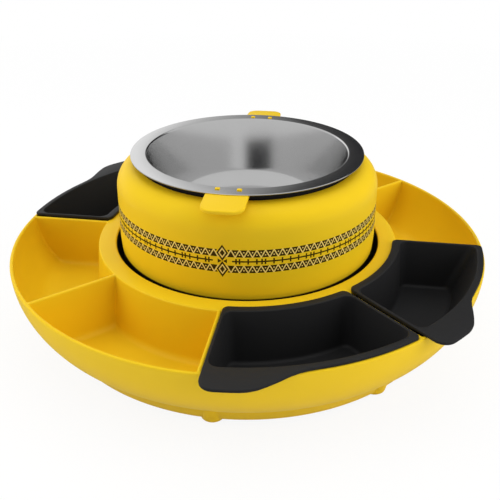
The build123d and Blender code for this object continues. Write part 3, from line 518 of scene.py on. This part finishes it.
def tint(name, description, default):
    """A colour that the user can change."""
    return FloatVectorProperty(name=name, description=description, default=default,
                               subtype="COLOR")


class TraySettings(bpy.types.PropertyGroup):
    """Sizes of the revolving tray."""

    rim_radius: length("Rim radius", "Outer radius of the tray's rim", 0.200)
    foot_radius: length("Foot radius", "Outer radius at the tray's bottom edge", 0.177)
    wall: length("Wall", "Thickness of the outer wall", 0.0028)
    floor: length("Floor", "Height of the compartments' floor above the table", 0.023)
    depth: length("Depth", "Height of the tray from bottom edge to rim", 0.050)
    hole_radius: length("Hole radius", "Radius of the hole that the pot stands in", 0.1136)
    plateau_radius: length(
        "Plateau radius", "Outer radius of the flat ring round the hole", 0.1286)
    plateau_draft: length("Plateau draft", "How far the inner wall leans out at its foot", 0.0044)
    divider: length("Divider", "Thickness of the walls between compartments", 0.003)
    floor_bend: length("Floor bend", "Radius where the walls run into the floor", 0.005)


class ContainerSettings(bpy.types.PropertyGroup):
    """Sizes of the loose containers."""

    lip_inner: length("Lip inner radius", "Radius of the lip's edge next to the pot", 0.1252)
    lip_outer: length("Lip outer radius", "Radius of the lip's edge over the rim", 0.1988)
    lip_side: length(
        "Lip side gap", "Distance of the lip's side from the divider's middle", 0.0020)
    handle_radius: length("Handle radius", "Radius that the handle reaches", 0.2160)
    mouth_inner: length("Mouth inner radius", "Radius of the tub's mouth next to the pot", 0.1300)
    mouth_outer: length("Mouth outer radius", "Outer radius of the tub under the lip", 0.1955)
    wall: length("Wall", "Thickness of the tub's walls", 0.0018)
    floor: length("Floor", "Height of the tub's underside above the table", 0.027)


class BandSettings(bpy.types.PropertyGroup):
    """Sizes and colours of the printed band, and of the painted shade below the tray's rim."""

    repeats: IntProperty(
        name="Triangles", description="Pairs of triangles in a row, all the way round", default=110)
    band_radius: length("Band radius", "Radius of the housing under the band", 0.1085)
    band_turn: FloatProperty(
        name="Band turn", description="Angle of the diamonds from the front", default=-0.0113,
        subtype="ANGLE")
    band_height: length("Band height", "Height of the middle line above the tray's rim", 0.0296)
    row_start: length("Row start", "Distance of each row from the middle line", 0.0034)
    row_width: length("Row width", "Height of a row of triangles", 0.0058)
    zigzag_width: length("Zigzag width", "Width of the gap between triangles", 0.0009)
    dot_radius: length("Dot radius", "Radius of the open spot in each triangle", 0.00052)
    diamond_width: length("Diamond width", "Width of the diamonds", 0.0086)
    diamond_height: length("Diamond height", "Height of each diamond", 0.0130)
    diamond_offset: length(
        "Diamond offset", "Distance of a diamond's centre from the middle line", 0.0066)
    line_width: length("Line width", "Thickness of the middle line", 0.0012)
    tick_height: length("Tick height", "Height of the ticks on the middle line", 0.0044)
    dark_print: tint("Dark print", "Colour of the dark ink", (0.016, 0.006, 0.001))
    pale_print: tint("Pale print", "Colour of the pale lines", (0.88, 0.70, 0.26))
    # Painted shade: the black skirt of these two settings is the shade in the gap inside the tray,
    # painted on the housing from this drop below the rim down
    painted_shade_drop: length(
        "Skirt drop", "Distance of the black skirt's top below the tray's rim", 0.0018)
    painted_shade_colour: tint(
        "Skirt colour", "Colour of the skirt inside the tray", (0.010, 0.008, 0.006))


class FinishSettings(bpy.types.PropertyGroup):
    """Colours of the finishes."""

    yellow: tint("Yellow", "Colour of the yellow plastic", (0.84, 0.56, 0.013))
    yellow_roughness: FloatProperty(
        name="Yellow roughness", description="Roughness of the yellow plastic", default=0.40)
    black: tint("Black", "Colour of the loose containers", (0.016, 0.016, 0.0165))
    steel: tint("Steel", "Colour of the polished bowl", (0.70, 0.70, 0.70))


def tray_walls(tray):
    """Radii of the tray's walls at a height: outer wall outside, outer wall inside, inner wall."""
    rim, wall = tray.rim_radius / MM, tray.wall / MM
    top = rim_level - wall / 2
    drop = tray.depth / MM - wall / 2
    lean = rim - tray.foot_radius / MM
    bend = (drop**2 + lean**2) / (2 * lean)

    def outside(height):
        return rim - bend + math.sqrt(bend**2 - (top - height) ** 2)

    def inside(height):
        return rim - bend + math.sqrt((bend - wall) ** 2 - (top - height) ** 2)

    def inner(height):
        share = (rim_level - height) / (rim_level - tray.floor / MM)
        return (tray.plateau_radius + share * tray.plateau_draft) / MM

    return outside, inside, inner


class POT_OT_tray(bpy.types.Operator):
    """Models the revolving tray with its dividers"""

    bl_idname = "pot.tray"
    bl_label = "Revolving tray"

    def execute(self, context):
        tray = context.scene.pot_tray
        mesh = bmesh.new()
        rings = self.compartment(tray)
        repeat_round(mesh, lambda mesh: stack_rings(mesh, rings, open_start=True), SECTORS)

        # Outer wall, underside and skirt
        outside = tray_walls(tray)[0]
        wall, edge, hole = tray.wall / MM, tray.wall / MM / 2, tray.hole_radius / MM
        foot, bottom = tray.foot_radius / MM - wall, rim_level - tray.depth / MM
        steps, skin, rebate = 24, 2.6, 0.5
        under, plateau_under = tray.floor / MM - skin, rim_level - skin
        back = (tray.plateau_radius - tray.wall) / MM
        round_centre = rim_level - edge
        sleeve_top = round_centre - 0.2
        rim_centre = (tray.rim_radius / MM - edge, round_centre)
        outline = arc_points(rim_centre, edge, math.radians(90), 0, 6)
        for step in range(1, steps + 1):
            height = round_centre + (bottom - round_centre) * step / steps
            outline.append((outside(height), height))
        outline += [(foot, bottom), (foot, under), (back + tray.plateau_draft / MM, under),
                    (back, plateau_under), (hole + rebate, plateau_under),
                    (hole + rebate, sleeve_top), (hole, sleeve_top), (hole, round_centre)]
        outline += arc_points((hole + edge, round_centre), edge, math.radians(180),
                              math.radians(90), 5)[1:]
        spin_ring(mesh, outline, closed=False)
        finish_piece("tray_shell", mesh, yellow_finish(), "revolving_tray",
                     "tray")
        self.sleeve(hole, extent("tray")[0].z, sleeve_top)
        return {"FINISHED"}

    def compartment(self, tray):
        """Rings from the rim's crest and the plateau down the walls and round into the floor."""
        outside, inside, inner = tray_walls(tray)
        floor, bend, edge = tray.floor / MM, tray.floor_bend / MM, tray.wall / MM / 2
        crest = tray.rim_radius / MM - edge
        half_divider, corner = tray.divider / MM / 2, 2.2
        arc_steps, wall_steps = ROUND_STEPS // SECTORS, 10
        rings = [sector_ring(tray.hole_radius / MM + edge, lambda angle: crest, 0, 0, 0, rim_level,
                             arc_steps)]
        for sine, cosine in quarter(5):
            inset = edge * sine
            rings.append(sector_ring(
                tray.plateau_radius / MM - edge + inset, lambda angle: crest - inset,
                half_divider - edge + inset, corner - inset, corner - inset,
                rim_level - edge * (1 - cosine), arc_steps))
        for step in range(1, wall_steps + 1):
            height = rim_level - edge + (floor + bend - rim_level + edge) * step / wall_steps
            rings.append(sector_ring(inner(height), lambda angle: inside(height), half_divider,
                                     corner, corner, height, arc_steps))
        for sine, cosine in quarter(7)[1:]:
            inset = bend * (1 - cosine)
            height = floor + bend * (1 - sine)
            rings.append(sector_ring(
                inner(height) + inset, lambda angle: inside(height) - inset, half_divider + inset,
                corner + inset, corner + inset, height, arc_steps))
        return rings

    def sleeve(self, hole, low, high):
        """The sleeve round the hole, which runs on the centring ring, coloured black as painted shade
        for the gap round the pot.
        """
        mesh = bmesh.new()
        back = hole + 2.6
        spin_ring(mesh, rounded([(hole, low, 0.4), (back, low, 0.4), (back, high, 0.2),
                                 (hole, high, 0)]))
        # The sleeve's black is painted shade for the gap between tray and housing
        finish_piece("tray_sleeve_painted_shade", mesh, black_finish(), "revolving_tray", "tray")


@functools.cache
def yellow_finish():
    """The yellow plastic."""
    finish = bpy.context.scene.pot_finish
    return moulded_plastic("moulded_yellow", finish.yellow, finish.yellow_roughness, shine=0.17)


@functools.cache
def black_finish():
    """The black plastic of the loose containers, also put on the tray's sleeve as painted shade."""
    black = bpy.context.scene.pot_finish.black
    return moulded_plastic(
        "moulded_black", black, 0.5, spread=0.08, grain=1400, depth=0.00003, shine=0.2)


@functools.cache
def rubber_finish():
    """Black rubber."""
    return moulded_plastic(
        "moulded_rubber", (0.02, 0.02, 0.02), 0.7, spread=0.15, grain=700, depth=0.00006)


def handle_edge(box):
    """Outer radius of a container's lip at an angle, with the handle at its clockwise end."""
    lip, reach = box.lip_outer / MM, box.handle_radius / MM
    shoulder, foot, ahead = math.radians(9.8), math.radians(18.9), 0.02
    shoulder_bend, foot_bend, run_up, run_out = 30, 50, 40, 60
    start, end = Vector(polar(reach, shoulder)), Vector(polar(lip, foot))
    before = start + (Vector(polar(reach, shoulder - ahead)) - start).normalized() * run_up
    after = end + (Vector(polar(lip, foot + ahead)) - end).normalized() * run_out
    curve = rounded([(*before, 0), (*start, shoulder_bend), (*end, foot_bend), (*after, 0)])
    path = sorted((math.atan2(x, -y), math.hypot(x, y)) for x, y in curve)

    def outer(angle):
        if angle <= path[1][0]:
            return reach
        if angle >= path[-2][0]:
            return lip
        for (low, near), (high, far) in zip(path, path[1:]):
            if low <= angle <= high:
                return near + (far - near) * (angle - low) / (high - low)
        return lip

    return outer


class POT_OT_containers(bpy.types.Operator):
    """Models the loose containers with their lips and handles"""

    bl_idname = "pot.containers"
    bl_label = "Loose containers"

    def execute(self, context):
        box = context.scene.pot_container
        outer = handle_edge(box)
        wall, floor, mouth = box.wall / MM, box.floor / MM, lip_under + 1.2
        inside_floor, arc_steps = floor + wall, 72
        tub_side, tub_corner = 2.4, 9.0
        lean_in, lean_out, lean_side = 4.2, 15.9, 2.2
        inner_corner, handle_corner, far_corner = 5.0, 9.5, 3.5
        foot_bend, floor_bend, lip_bend, lip_edge = 2.5, 3.0, 0.8, 0.35

        def tub(height, inset):
            """The tub's outline at a height, drawn in by the inset."""
            share = (mouth - height) / (mouth - floor)
            radius = box.mouth_outer / MM - lean_out * share - inset
            return sector_ring(box.mouth_inner / MM + lean_in * share + inset, lambda angle: radius,
                               tub_side + lean_side * share + inset, tub_corner - inset,
                               tub_corner - inset, height, arc_steps)

        def lip(height, inset):
            """The lip's outline at a height, drawn in by the inset."""
            return sector_ring(box.lip_inner / MM + inset, lambda angle: outer(angle) - inset,
                               box.lip_side / MM + inset, inner_corner - inset,
                               handle_corner - inset, height, arc_steps, far_corner - inset)

        rings = [tub(floor + foot_bend * (1 - cosine), foot_bend * (1 - sine))
                 for sine, cosine in quarter(4)]
        rings += [tub(lip_under - 1.0, 0), tub(lip_under, 0), lip(lip_under, lip_edge),
                  lip(lip_under + lip_edge, 0)]
        rings += [lip(lip_top - lip_bend * (1 - sine), lip_bend * (1 - cosine))
                  for sine, cosine in quarter(4)]
        rings += [tub(lip_top - lip_bend * (1 - cosine), wall - lip_bend * (1 - sine))
                  for sine, cosine in quarter(4)]
        rings += [tub(inside_floor + floor_bend * (1 - sine), wall + floor_bend * (1 - cosine))
                  for sine, cosine in quarter(5)]
        for number, sector in enumerate(LOOSE_SECTORS, start=1):
            mesh = bmesh.new()
            stack_rings(mesh, rings)
            turned(mesh, mesh.verts, sector * SECTOR)
            name = f"container_{number}"
            finish_piece(f"{name}_tub", mesh, black_finish(), name, name)
        return {"FINISHED"}


class POT_OT_housing(bpy.types.Operator):
    """Models the pot's housing with its printed band"""

    bl_idname = "pot.housing"
    bl_label = "Housing"

    def execute(self, context):
        finish = context.scene.pot_finish
        widest = housing_high.x
        foot, neck = widest - 3.0, widest - 1.2
        bottom, top = housing_low.z, housing_high.z
        wall, shoulder = 2.5, 18.1
        heel, heel_bend = bottom + 13.3, 8
        belt, belt_bend = rim_level + 8.0, 60
        mouth = neck - shoulder - 0.7
        mesh = bmesh.new()
        spin_ring(mesh, rounded([
            (foot, bottom, 0), (foot, heel, heel_bend), (widest, belt, belt_bend),
            (neck, top, shoulder), (mouth, top, 0.8), (mouth, top - wall, 0.3),
            (neck - wall, top - wall, shoulder - wall), (widest - wall, belt, belt_bend),
            (foot - wall, heel, heel_bend), (foot - wall, bottom, 0),
        ]))
        printed = housing_plastic("printed_yellow", finish.yellow, finish.yellow_roughness,
                                  context.scene.pot_band)
        finish_piece("housing_cover", mesh, printed, "base", "housing_shell")
        return {"FINISHED"}


class POT_OT_heat_ring(bpy.types.Operator):
    """Models the black ring between housing and bowl"""

    bl_idname = "pot.heat_ring"
    bl_label = "Heat ring"

    def execute(self, context):
        low, high = extent("heat_ring")
        outer, inner, flange, flange_top = 88.8, 84.2, high.x, low.z + 2.5
        handle_low, handle_high = extent("bowl_handle_front")
        notch, notch_floor = handle_high.x + 0.75, handle_low.z + 1.3
        mesh = bmesh.new()
        spin_ring(mesh, rounded([
            (inner, low.z, 0.3), (flange, low.z, 0.3), (flange, flange_top, 0.3),
            (outer, flange_top, 0.6), (outer, high.z, 0.8), (inner, high.z, 0.8),
        ]))
        for side in (-notch, notch):
            score(mesh, (side, 0, 0), (1, 0, 0))
        for vert in mesh.verts:
            if abs(vert.co.x) < notch - 0.01 and vert.co.z > notch_floor:
                vert.co.z = notch_floor
        phenolic = moulded_plastic("moulded_phenolic", (0.010, 0.010, 0.011), 0.5, spread=0.1,
                                   grain=900, depth=0.00004, shine=0.1)
        finish_piece("heat_ring_collar", mesh, phenolic, "base", "heat_ring")
        return {"FINISHED"}


class POT_OT_bowl(bpy.types.Operator):
    """Models the serving bowl and its two handles"""

    bl_idname = "pot.bowl"
    bl_label = "Serving bowl"

    def execute(self, context):
        low, high = extent("serving_bowl")
        flange, mouth, gauge, corner = high.x, 82.8, 1.0, 20.0
        floor, under = mouth - 10.8, high.z - gauge
        mesh = bmesh.new()
        outline = [(0, low.z)] + rounded([
            (0, low.z, 0), (floor + gauge, low.z, corner + gauge), (mouth + gauge, under, 1.0),
            (flange, under, 0.42), (flange, high.z, 0.42), (mouth, high.z, 1.4),
            (floor, low.z + gauge, corner), (0, low.z + gauge, 0),
        ])[1:]
        spin_ring(mesh, outline, closed=False)
        steel = polished_steel("polished_bowl", context.scene.pot_finish.steel, 0.16, rings=0.02,
                               streak=0.04)
        finish_piece("bowl_pressing", mesh, steel, "bowl", "serving_bowl")
        self.handle("bowl_handle_front", flange, under, 0)
        self.handle("bowl_handle_rear", flange, under, math.pi)
        return {"FINISHED"}

    def handle(self, node, flange, under, turn):
        """A tongue under the flange, drooping a little, with two lugs up through it."""
        low, high = extent(node)
        half, tip, root = high.x, max(abs(low.y), abs(high.y)), flange - 10.9
        thick, edge, root_corner, tip_corner, droop = 2.9, 0.85, 0.6, 9.5, 1.5
        lug_circle, lug_offset, lug_size, lug_centre = 87.2, 8.0, (3.6, 3.0, 2.4), under + 0.6
        mesh = bmesh.new()

        def outline(inset, height):
            side, back, front = half - inset, -root - inset, inset - tip
            corner = tip_corner - inset
            return [(x, y, height) for x, y in rounded([
                (-side, back, root_corner), (side, back, root_corner),
                (side, front, corner), (-side, front, corner)])]

        rings = [outline(edge * (1 - sine), under - thick + edge * (1 - cosine))
                 for sine, cosine in quarter(4)]
        rings += [outline(edge * (1 - cosine), under - edge * (1 - sine))
                  for sine, cosine in quarter(4)]
        stack_rings(mesh, rings)
        for plane in (-flange, -flange - 6):
            score(mesh, (0, plane, 0), (0, 1, 0))
        for vert in mesh.verts:
            vert.co.z -= droop * max(0.0, (-vert.co.y - flange) / (tip - flange))
        for offset in (-lug_offset, lug_offset):
            lug = block(mesh, lug_size, (offset, -lug_circle, lug_centre))
            soften(mesh, list({edge for vert in lug for edge in vert.link_edges}), 0.4)
        turned(mesh, mesh.verts, turn)
        finish_piece(node.replace("bowl_handle", "tongue_handle"), mesh, yellow_finish(), "bowl",
                     node)


class POT_OT_base(bpy.types.Operator):
    """Models the base pan with its feet, pads, screws and cord gland"""

    bl_idname = "pot.base"
    bl_label = "Base"

    def execute(self, context):
        bottom, floor, top = PAN_BOTTOM, PAN_BOTTOM + 2.5, PAN_TOP
        foot, rim, wall = 168.2, 173.5, 2.5
        opening, recess, raised = 88.0, 104.2, PAN_BOTTOM + 3.0
        step_radius, step_top = 112.4, 12.8
        collar_outer, collar_inner, collar_top = 109.1, 106.5, 23.0
        mesh = bmesh.new()
        spin_ring(mesh, rounded([
            (opening, raised, 0), (recess, raised, 0), (recess, bottom, 0), (foot, bottom, 1.2),
            (rim, top, 0.8), (rim - wall, top, 0.6), (foot - wall + 1.0, floor, 2.0),
            (step_radius, floor, 1.0), (step_radius, step_top, 0), (collar_outer, step_top, 0),
            (collar_outer, collar_top, 0.4), (collar_inner, collar_top, 0.4),
            (collar_inner, raised + wall, 0), (opening, raised + wall, 0),
        ]))
        repeat_round(mesh, self.boss, SECTORS, out=FOOT_CIRCLE)
        self.gland_boss(mesh)
        repeat_round(mesh, self.ears, SECTORS, SECTOR / 2, ROLLER_CIRCLE)
        finish_piece("base_shell", mesh, yellow_finish(), "base", "base_pan")
        self.pads()
        self.screws()
        self.gland()
        return {"FINISHED"}

    def boss(self, mesh):
        """A half-round foot that leans out with the wall and fades into it."""
        low, height, lean, radius, edge = 1.2, 14.0, 3.6, 8.8, 1.2
        pocket, pocket_depth, steps = 5.52, 1.6, 4

        def circle(radius, level, out):
            return [(x, y, level) for x, y in arc_points((0, -out), radius, 0, math.tau, 40)[:-1]]

        rings = [circle(pocket, low + pocket_depth, 0), circle(pocket, low, 0)]
        for sine, cosine in quarter(steps):
            rise = edge * (1 - cosine)
            rings.append(circle(radius - edge * (1 - sine), low + rise, lean * rise / height))
        for step in range(1, steps + 1):
            rings.append(circle(radius, low + height * step / steps, lean * step / steps))
        stack_rings(mesh, rings)

    def ears(self, mesh):
        """The pair of brackets that hold one roller's axle."""
        width, gauge, height, spread = 9.0, 2.4, 10.1, 5.6
        for side in (-spread, spread):
            block(mesh, (width, gauge, height), (0, side, PAN_BOTTOM + 2.5 + height / 2))

    def gland_boss(self, mesh):
        """The flat at the back that the cord gland sits in."""
        width, depth, back = 18.0, 8.8, 174.5
        height = PAN_TOP - PAN_BOTTOM
        boss = block(mesh, (width, depth, height), (0, back - depth / 2, PAN_BOTTOM + height / 2))
        edges = [edge for edge in {edge for vert in boss for edge in vert.link_edges}
                 if all(vert.co.y > back - 0.5 for vert in edge.verts)]
        soften(mesh, edges, 0.8)

    def pads(self):
        """Rubber pads under the feet."""
        mesh = bmesh.new()
        radius, height = 5.5, 2.8
        outline = rounded([(0, 0, 0), (radius, 0, 0.6), (radius, height, 0.2), (0, height, 0)])
        repeat_round(mesh, lambda mesh: spin_ring(mesh, outline, closed=False, steps=40), SECTORS,
                     out=FOOT_CIRCLE)
        finish_piece("foot_pads", mesh, rubber_finish(), "base", "rubber_feet")

    def screws(self):
        """Pan-head screws with a cross recess, seen from below."""
        low = extent("base_screws")[0].z
        head, shank, seat, tip, crown = 3.8, 2.0, low + 2.0, low + 22.0, 0.1
        recess, circle = (3.4, 0.7, 0.3), 96.0
        outline = rounded([(0, low + crown, 0), (2.6, low, 0.4), (head, low + 1.1, 0.5),
                           (head, seat, 0), (shank, seat, 0), (shank, tip, 0.6), (0, tip, 0)])

        def screw(mesh):
            spin_ring(mesh, outline, closed=False, steps=32)
            for turn in (0, math.pi / 2):
                turned(mesh, block(mesh, recess, (0, 0, low + 0.12)), turn)

        mesh = bmesh.new()
        repeat_round(mesh, screw, 4, SECTOR, circle)
        finish_piece("clamp_screws", mesh, bpy.data.materials["zinc_steel"], "base",
                     "base_screws")

    def gland(self):
        """The soft grommet for the cord."""
        low, high = extent("cord_gland")
        bore, neck, flange, gauge = 3.2, 4.5, 5.5, 2.0
        mesh = bmesh.new()
        spin_ring(mesh, rounded([
            (bore, -high.y, 0.6), (flange, -high.y, 1.0), (flange, gauge - high.y, 0.2),
            (neck, gauge - high.y, 0.2), (neck, -low.y - gauge, 0.2),
            (flange, -low.y - gauge, 0.3), (flange, -low.y, 0.5), (bore, -low.y, 0.5),
        ]), steps=48)
        turned(mesh, mesh.verts, math.radians(90), "X")
        bmesh.ops.translate(mesh, vec=(0, 0, (low.z + high.z) / 2), verts=mesh.verts)
        finish_piece("cord_grommet", mesh, rubber_finish(), "base", "cord_gland")


class POT_OT_inner_parts(bpy.types.Operator):
    """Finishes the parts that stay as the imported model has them"""

    bl_idname = "pot.inner_parts"
    bl_label = "Inner parts"

    def execute(self, context):
        finishes = {
            "yellow_plastic": yellow_finish(),
            "steel_fittings": sheet_metal("zinc_steel", (0.50, 0.50, 0.51), 0.34),
            "white_plastic": moulded_plastic("white_acetal", (0.78, 0.78, 0.75), 0.42),
            "brass_contacts": sheet_metal("brass", (0.70, 0.50, 0.20), 0.3),
            "well_sheet": sheet_metal("well_sheet", (0.62, 0.62, 0.63), 0.3, (40, 40, 900)),
            "shield_sheet": sheet_metal("shield_sheet", (0.66, 0.66, 0.67), 0.25, (40, 900, 40)),
            "aluminium_castings": sheet_metal("cast_aluminium", (0.52, 0.52, 0.53), 0.5),
            "element_sheath": sheet_metal("element_sheath", (0.20, 0.20, 0.21), 0.45),
            "thermostat_body": moulded_plastic("thermostat_body", (0.55, 0.53, 0.48), 0.6),
            "fuse_case": sheet_metal("fuse_case", (0.60, 0.44, 0.16), 0.3),
            "brown_wire": moulded_plastic("brown_wire", (0.16, 0.06, 0.02), 0.45),
            "blue_wire": moulded_plastic("blue_wire", (0.03, 0.10, 0.40), 0.45),
            "green_wire": moulded_plastic("green_wire", (0.10, 0.35, 0.05), 0.45),
            "white_wire": moulded_plastic("glass_sleeve", (0.7, 0.7, 0.68), 0.8, spread=0.1,
                                          grain=2000, depth=0.0001),
        }
        for part in frame["record"]["subparts"]:
            if part["material_slot"] in finishes:
                node = frame["nodes"][part["node"]]
                node.data.materials.clear()
                node.data.materials.append(finishes[part["material_slot"]])
        return {"FINISHED"}


def backdrop_material():
    """White paper to the camera; reflections show its upright part shaded to dark at the right."""
    paint = Paint("white_backdrop")
    camera, mirrored_ray = paint.rays()
    x, y, z = paint.split(paint.place())
    near, fade, rise_start, rise_end, left_end, width = 0.6, 0.8, 0.9, 1.5, -1.0, 1.15
    lit_share = 0.90
    away = (((x * x + y * y).root() - near) / fade).clamped()
    upright = ((y - rise_start) / (rise_end - rise_start)).clamped()
    # Painted reflections: mirrors see the floor as 0.3 grey and the upright part as a ramp from white
    # at the left to near black at the right
    stops = ((0.0, (1.0, 1.0, 1.0)), (0.45, (0.42, 0.42, 0.42)), (0.75, (0.08, 0.08, 0.08)),
             (1.0, (0.032, 0.032, 0.034)))
    ramp = paint.node("ShaderNodeValToRGB", (x - left_end) / width, settings={"stops": stops})
    grey = paint.blend(upright, (0.3, 0.3, 0.3), ramp)
    white = paint.node("ShaderNodeEmission", Color=(1.0, 1.0, 1.0), Strength=1.0)
    shaded = paint.node("ShaderNodeEmission", Color=grey, Strength=1.0)
    plain = paint.node("ShaderNodeBsdfDiffuse", Color=(0.92, 0.92, 0.92))
    seen = paint.node("ShaderNodeMixShader", camera * (lit_share + away * (1 - lit_share)),
                      plain, white)
    return paint.done(paint.node("ShaderNodeMixShader", mirrored_ray, seen, shaded))


class POT_OT_stage(bpy.types.Operator):
    """Makes the camera, the floor, the backdrop and the lamps"""

    bl_idname = "pot.stage"
    bl_label = "Stage"

    def execute(self, context):
        self.camera()
        self.floor()
        self.lamps()
        self.world()
        context.scene.view_settings.view_transform = "Standard"
        return {"FINISHED"}

    def camera(self):
        """At the photograph's place, as its perspective gives it."""
        data = bpy.data.cameras.new("camera")
        data.sensor_width = 36.0
        data.lens = 47.34
        camera = new_object("camera", data)
        round_front = math.radians(8.9)
        distance, height, pitch, yaw = 518.92, 259.97, math.radians(28.29), math.radians(0.25)
        camera.location = MM * Vector((*polar(distance, round_front), height + rim_level))
        camera.rotation_euler = (math.radians(90) - pitch, 0, round_front - yaw)
        data.clip_start, data.clip_end = 0.01, 50
        bpy.context.scene.camera = camera

    def floor(self):
        """A wide floor that curves up into a backdrop far behind."""
        mesh = bmesh.new()
        reach, rise, bend = 2.6, 2.4, 0.9
        profile = [(-reach, 0.0)]
        profile += [(reach + bend * (sine - 1), bend * (1 - cosine))
                    for sine, cosine in quarter(10)]
        profile.append((reach, rise))
        verts = [mesh.verts.new((-2 * reach, y, z)) for y, z in profile]
        edges = [mesh.edges.new(pair) for pair in zip(verts, verts[1:])]
        made = bmesh.ops.extrude_edge_only(mesh, edges=edges)["geom"]
        fresh = [item for item in made if isinstance(item, bmesh.types.BMVert)]
        bmesh.ops.translate(mesh, vec=(4 * reach, 0, 0), verts=fresh)
        smooth_object("backdrop", mesh, backdrop_material())

    def lamps(self):
        """A large soft lamp on each side and one above, which polished steel doesn't show."""
        target = Vector((0, 0, 0.08))
        for name, place, size, power in (
            ("left", (-1.5, -0.35, 0.7), 1.7, 17.5),
            ("right", (1.5, -0.35, 0.7), 1.7, 18.5),
            ("top", (0.0, 0.3, 2.1), 2.6, 25),
        ):
            data = bpy.data.lights.new(name, "AREA")
            data.shape = "DISK"
            data.size = size
            data.energy = power
            lamp = new_object(name, data)
            lamp.location = place
            lamp.visible_glossy = False
            lamp.rotation_euler = (target - Vector(place)).to_track_quat("-Z", "Y").to_euler()

    def world(self):
        """White to the camera, paler grey in mirrors, and the even light of the studio."""
        paint = Paint("studio", "worlds", "ShaderNodeOutputWorld")
        camera, mirrored_ray = paint.rays()
        mirrored_share = 0.55
        light, seen = (paint.node("ShaderNodeBackground", Color=(1.0, 1.0, 1.0), Strength=level)
                       for level in (0.30, 1.0))
        bpy.context.scene.world = paint.done(paint.node(
            "ShaderNodeMixShader", camera | mirrored_ray * mirrored_share, light, seen))


class POT_PT_panel(bpy.types.Panel):
    """Lists the operators that make the pot"""

    bl_label = "Heated pot"
    bl_idname = "POT_PT_panel"
    bl_space_type = "VIEW_3D"
    bl_region_type = "UI"
    bl_category = "Pot"

    def draw(self, context):
        for operator in OPERATORS:
            self.layout.operator(operator.bl_idname)


GROUPS = {
    "pot_tray": TraySettings,
    "pot_container": ContainerSettings,
    "pot_band": BandSettings,
    "pot_finish": FinishSettings,
}
OPERATORS = (
    POT_OT_stage,
    POT_OT_inner_parts,
    POT_OT_tray,
    POT_OT_containers,
    POT_OT_housing,
    POT_OT_heat_ring,
    POT_OT_bowl,
    POT_OT_base,
)


def register():
    for name, group in GROUPS.items():
        bpy.utils.register_class(group)
        setattr(bpy.types.Scene, name, bpy.props.PointerProperty(type=group))
    for item in (*OPERATORS, POT_PT_panel):
        bpy.utils.register_class(item)


def unregister():
    for item in (POT_PT_panel, *reversed(OPERATORS)):
        bpy.utils.unregister_class(item)
    for name, group in GROUPS.items():
        delattr(bpy.types.Scene, name)
        bpy.utils.unregister_class(group)


def main():
    register()
    for operator in OPERATORS:
        area, name = operator.bl_idname.split(".")
        getattr(getattr(bpy.ops, area), name)()


if __name__ == "__main__":
    main()
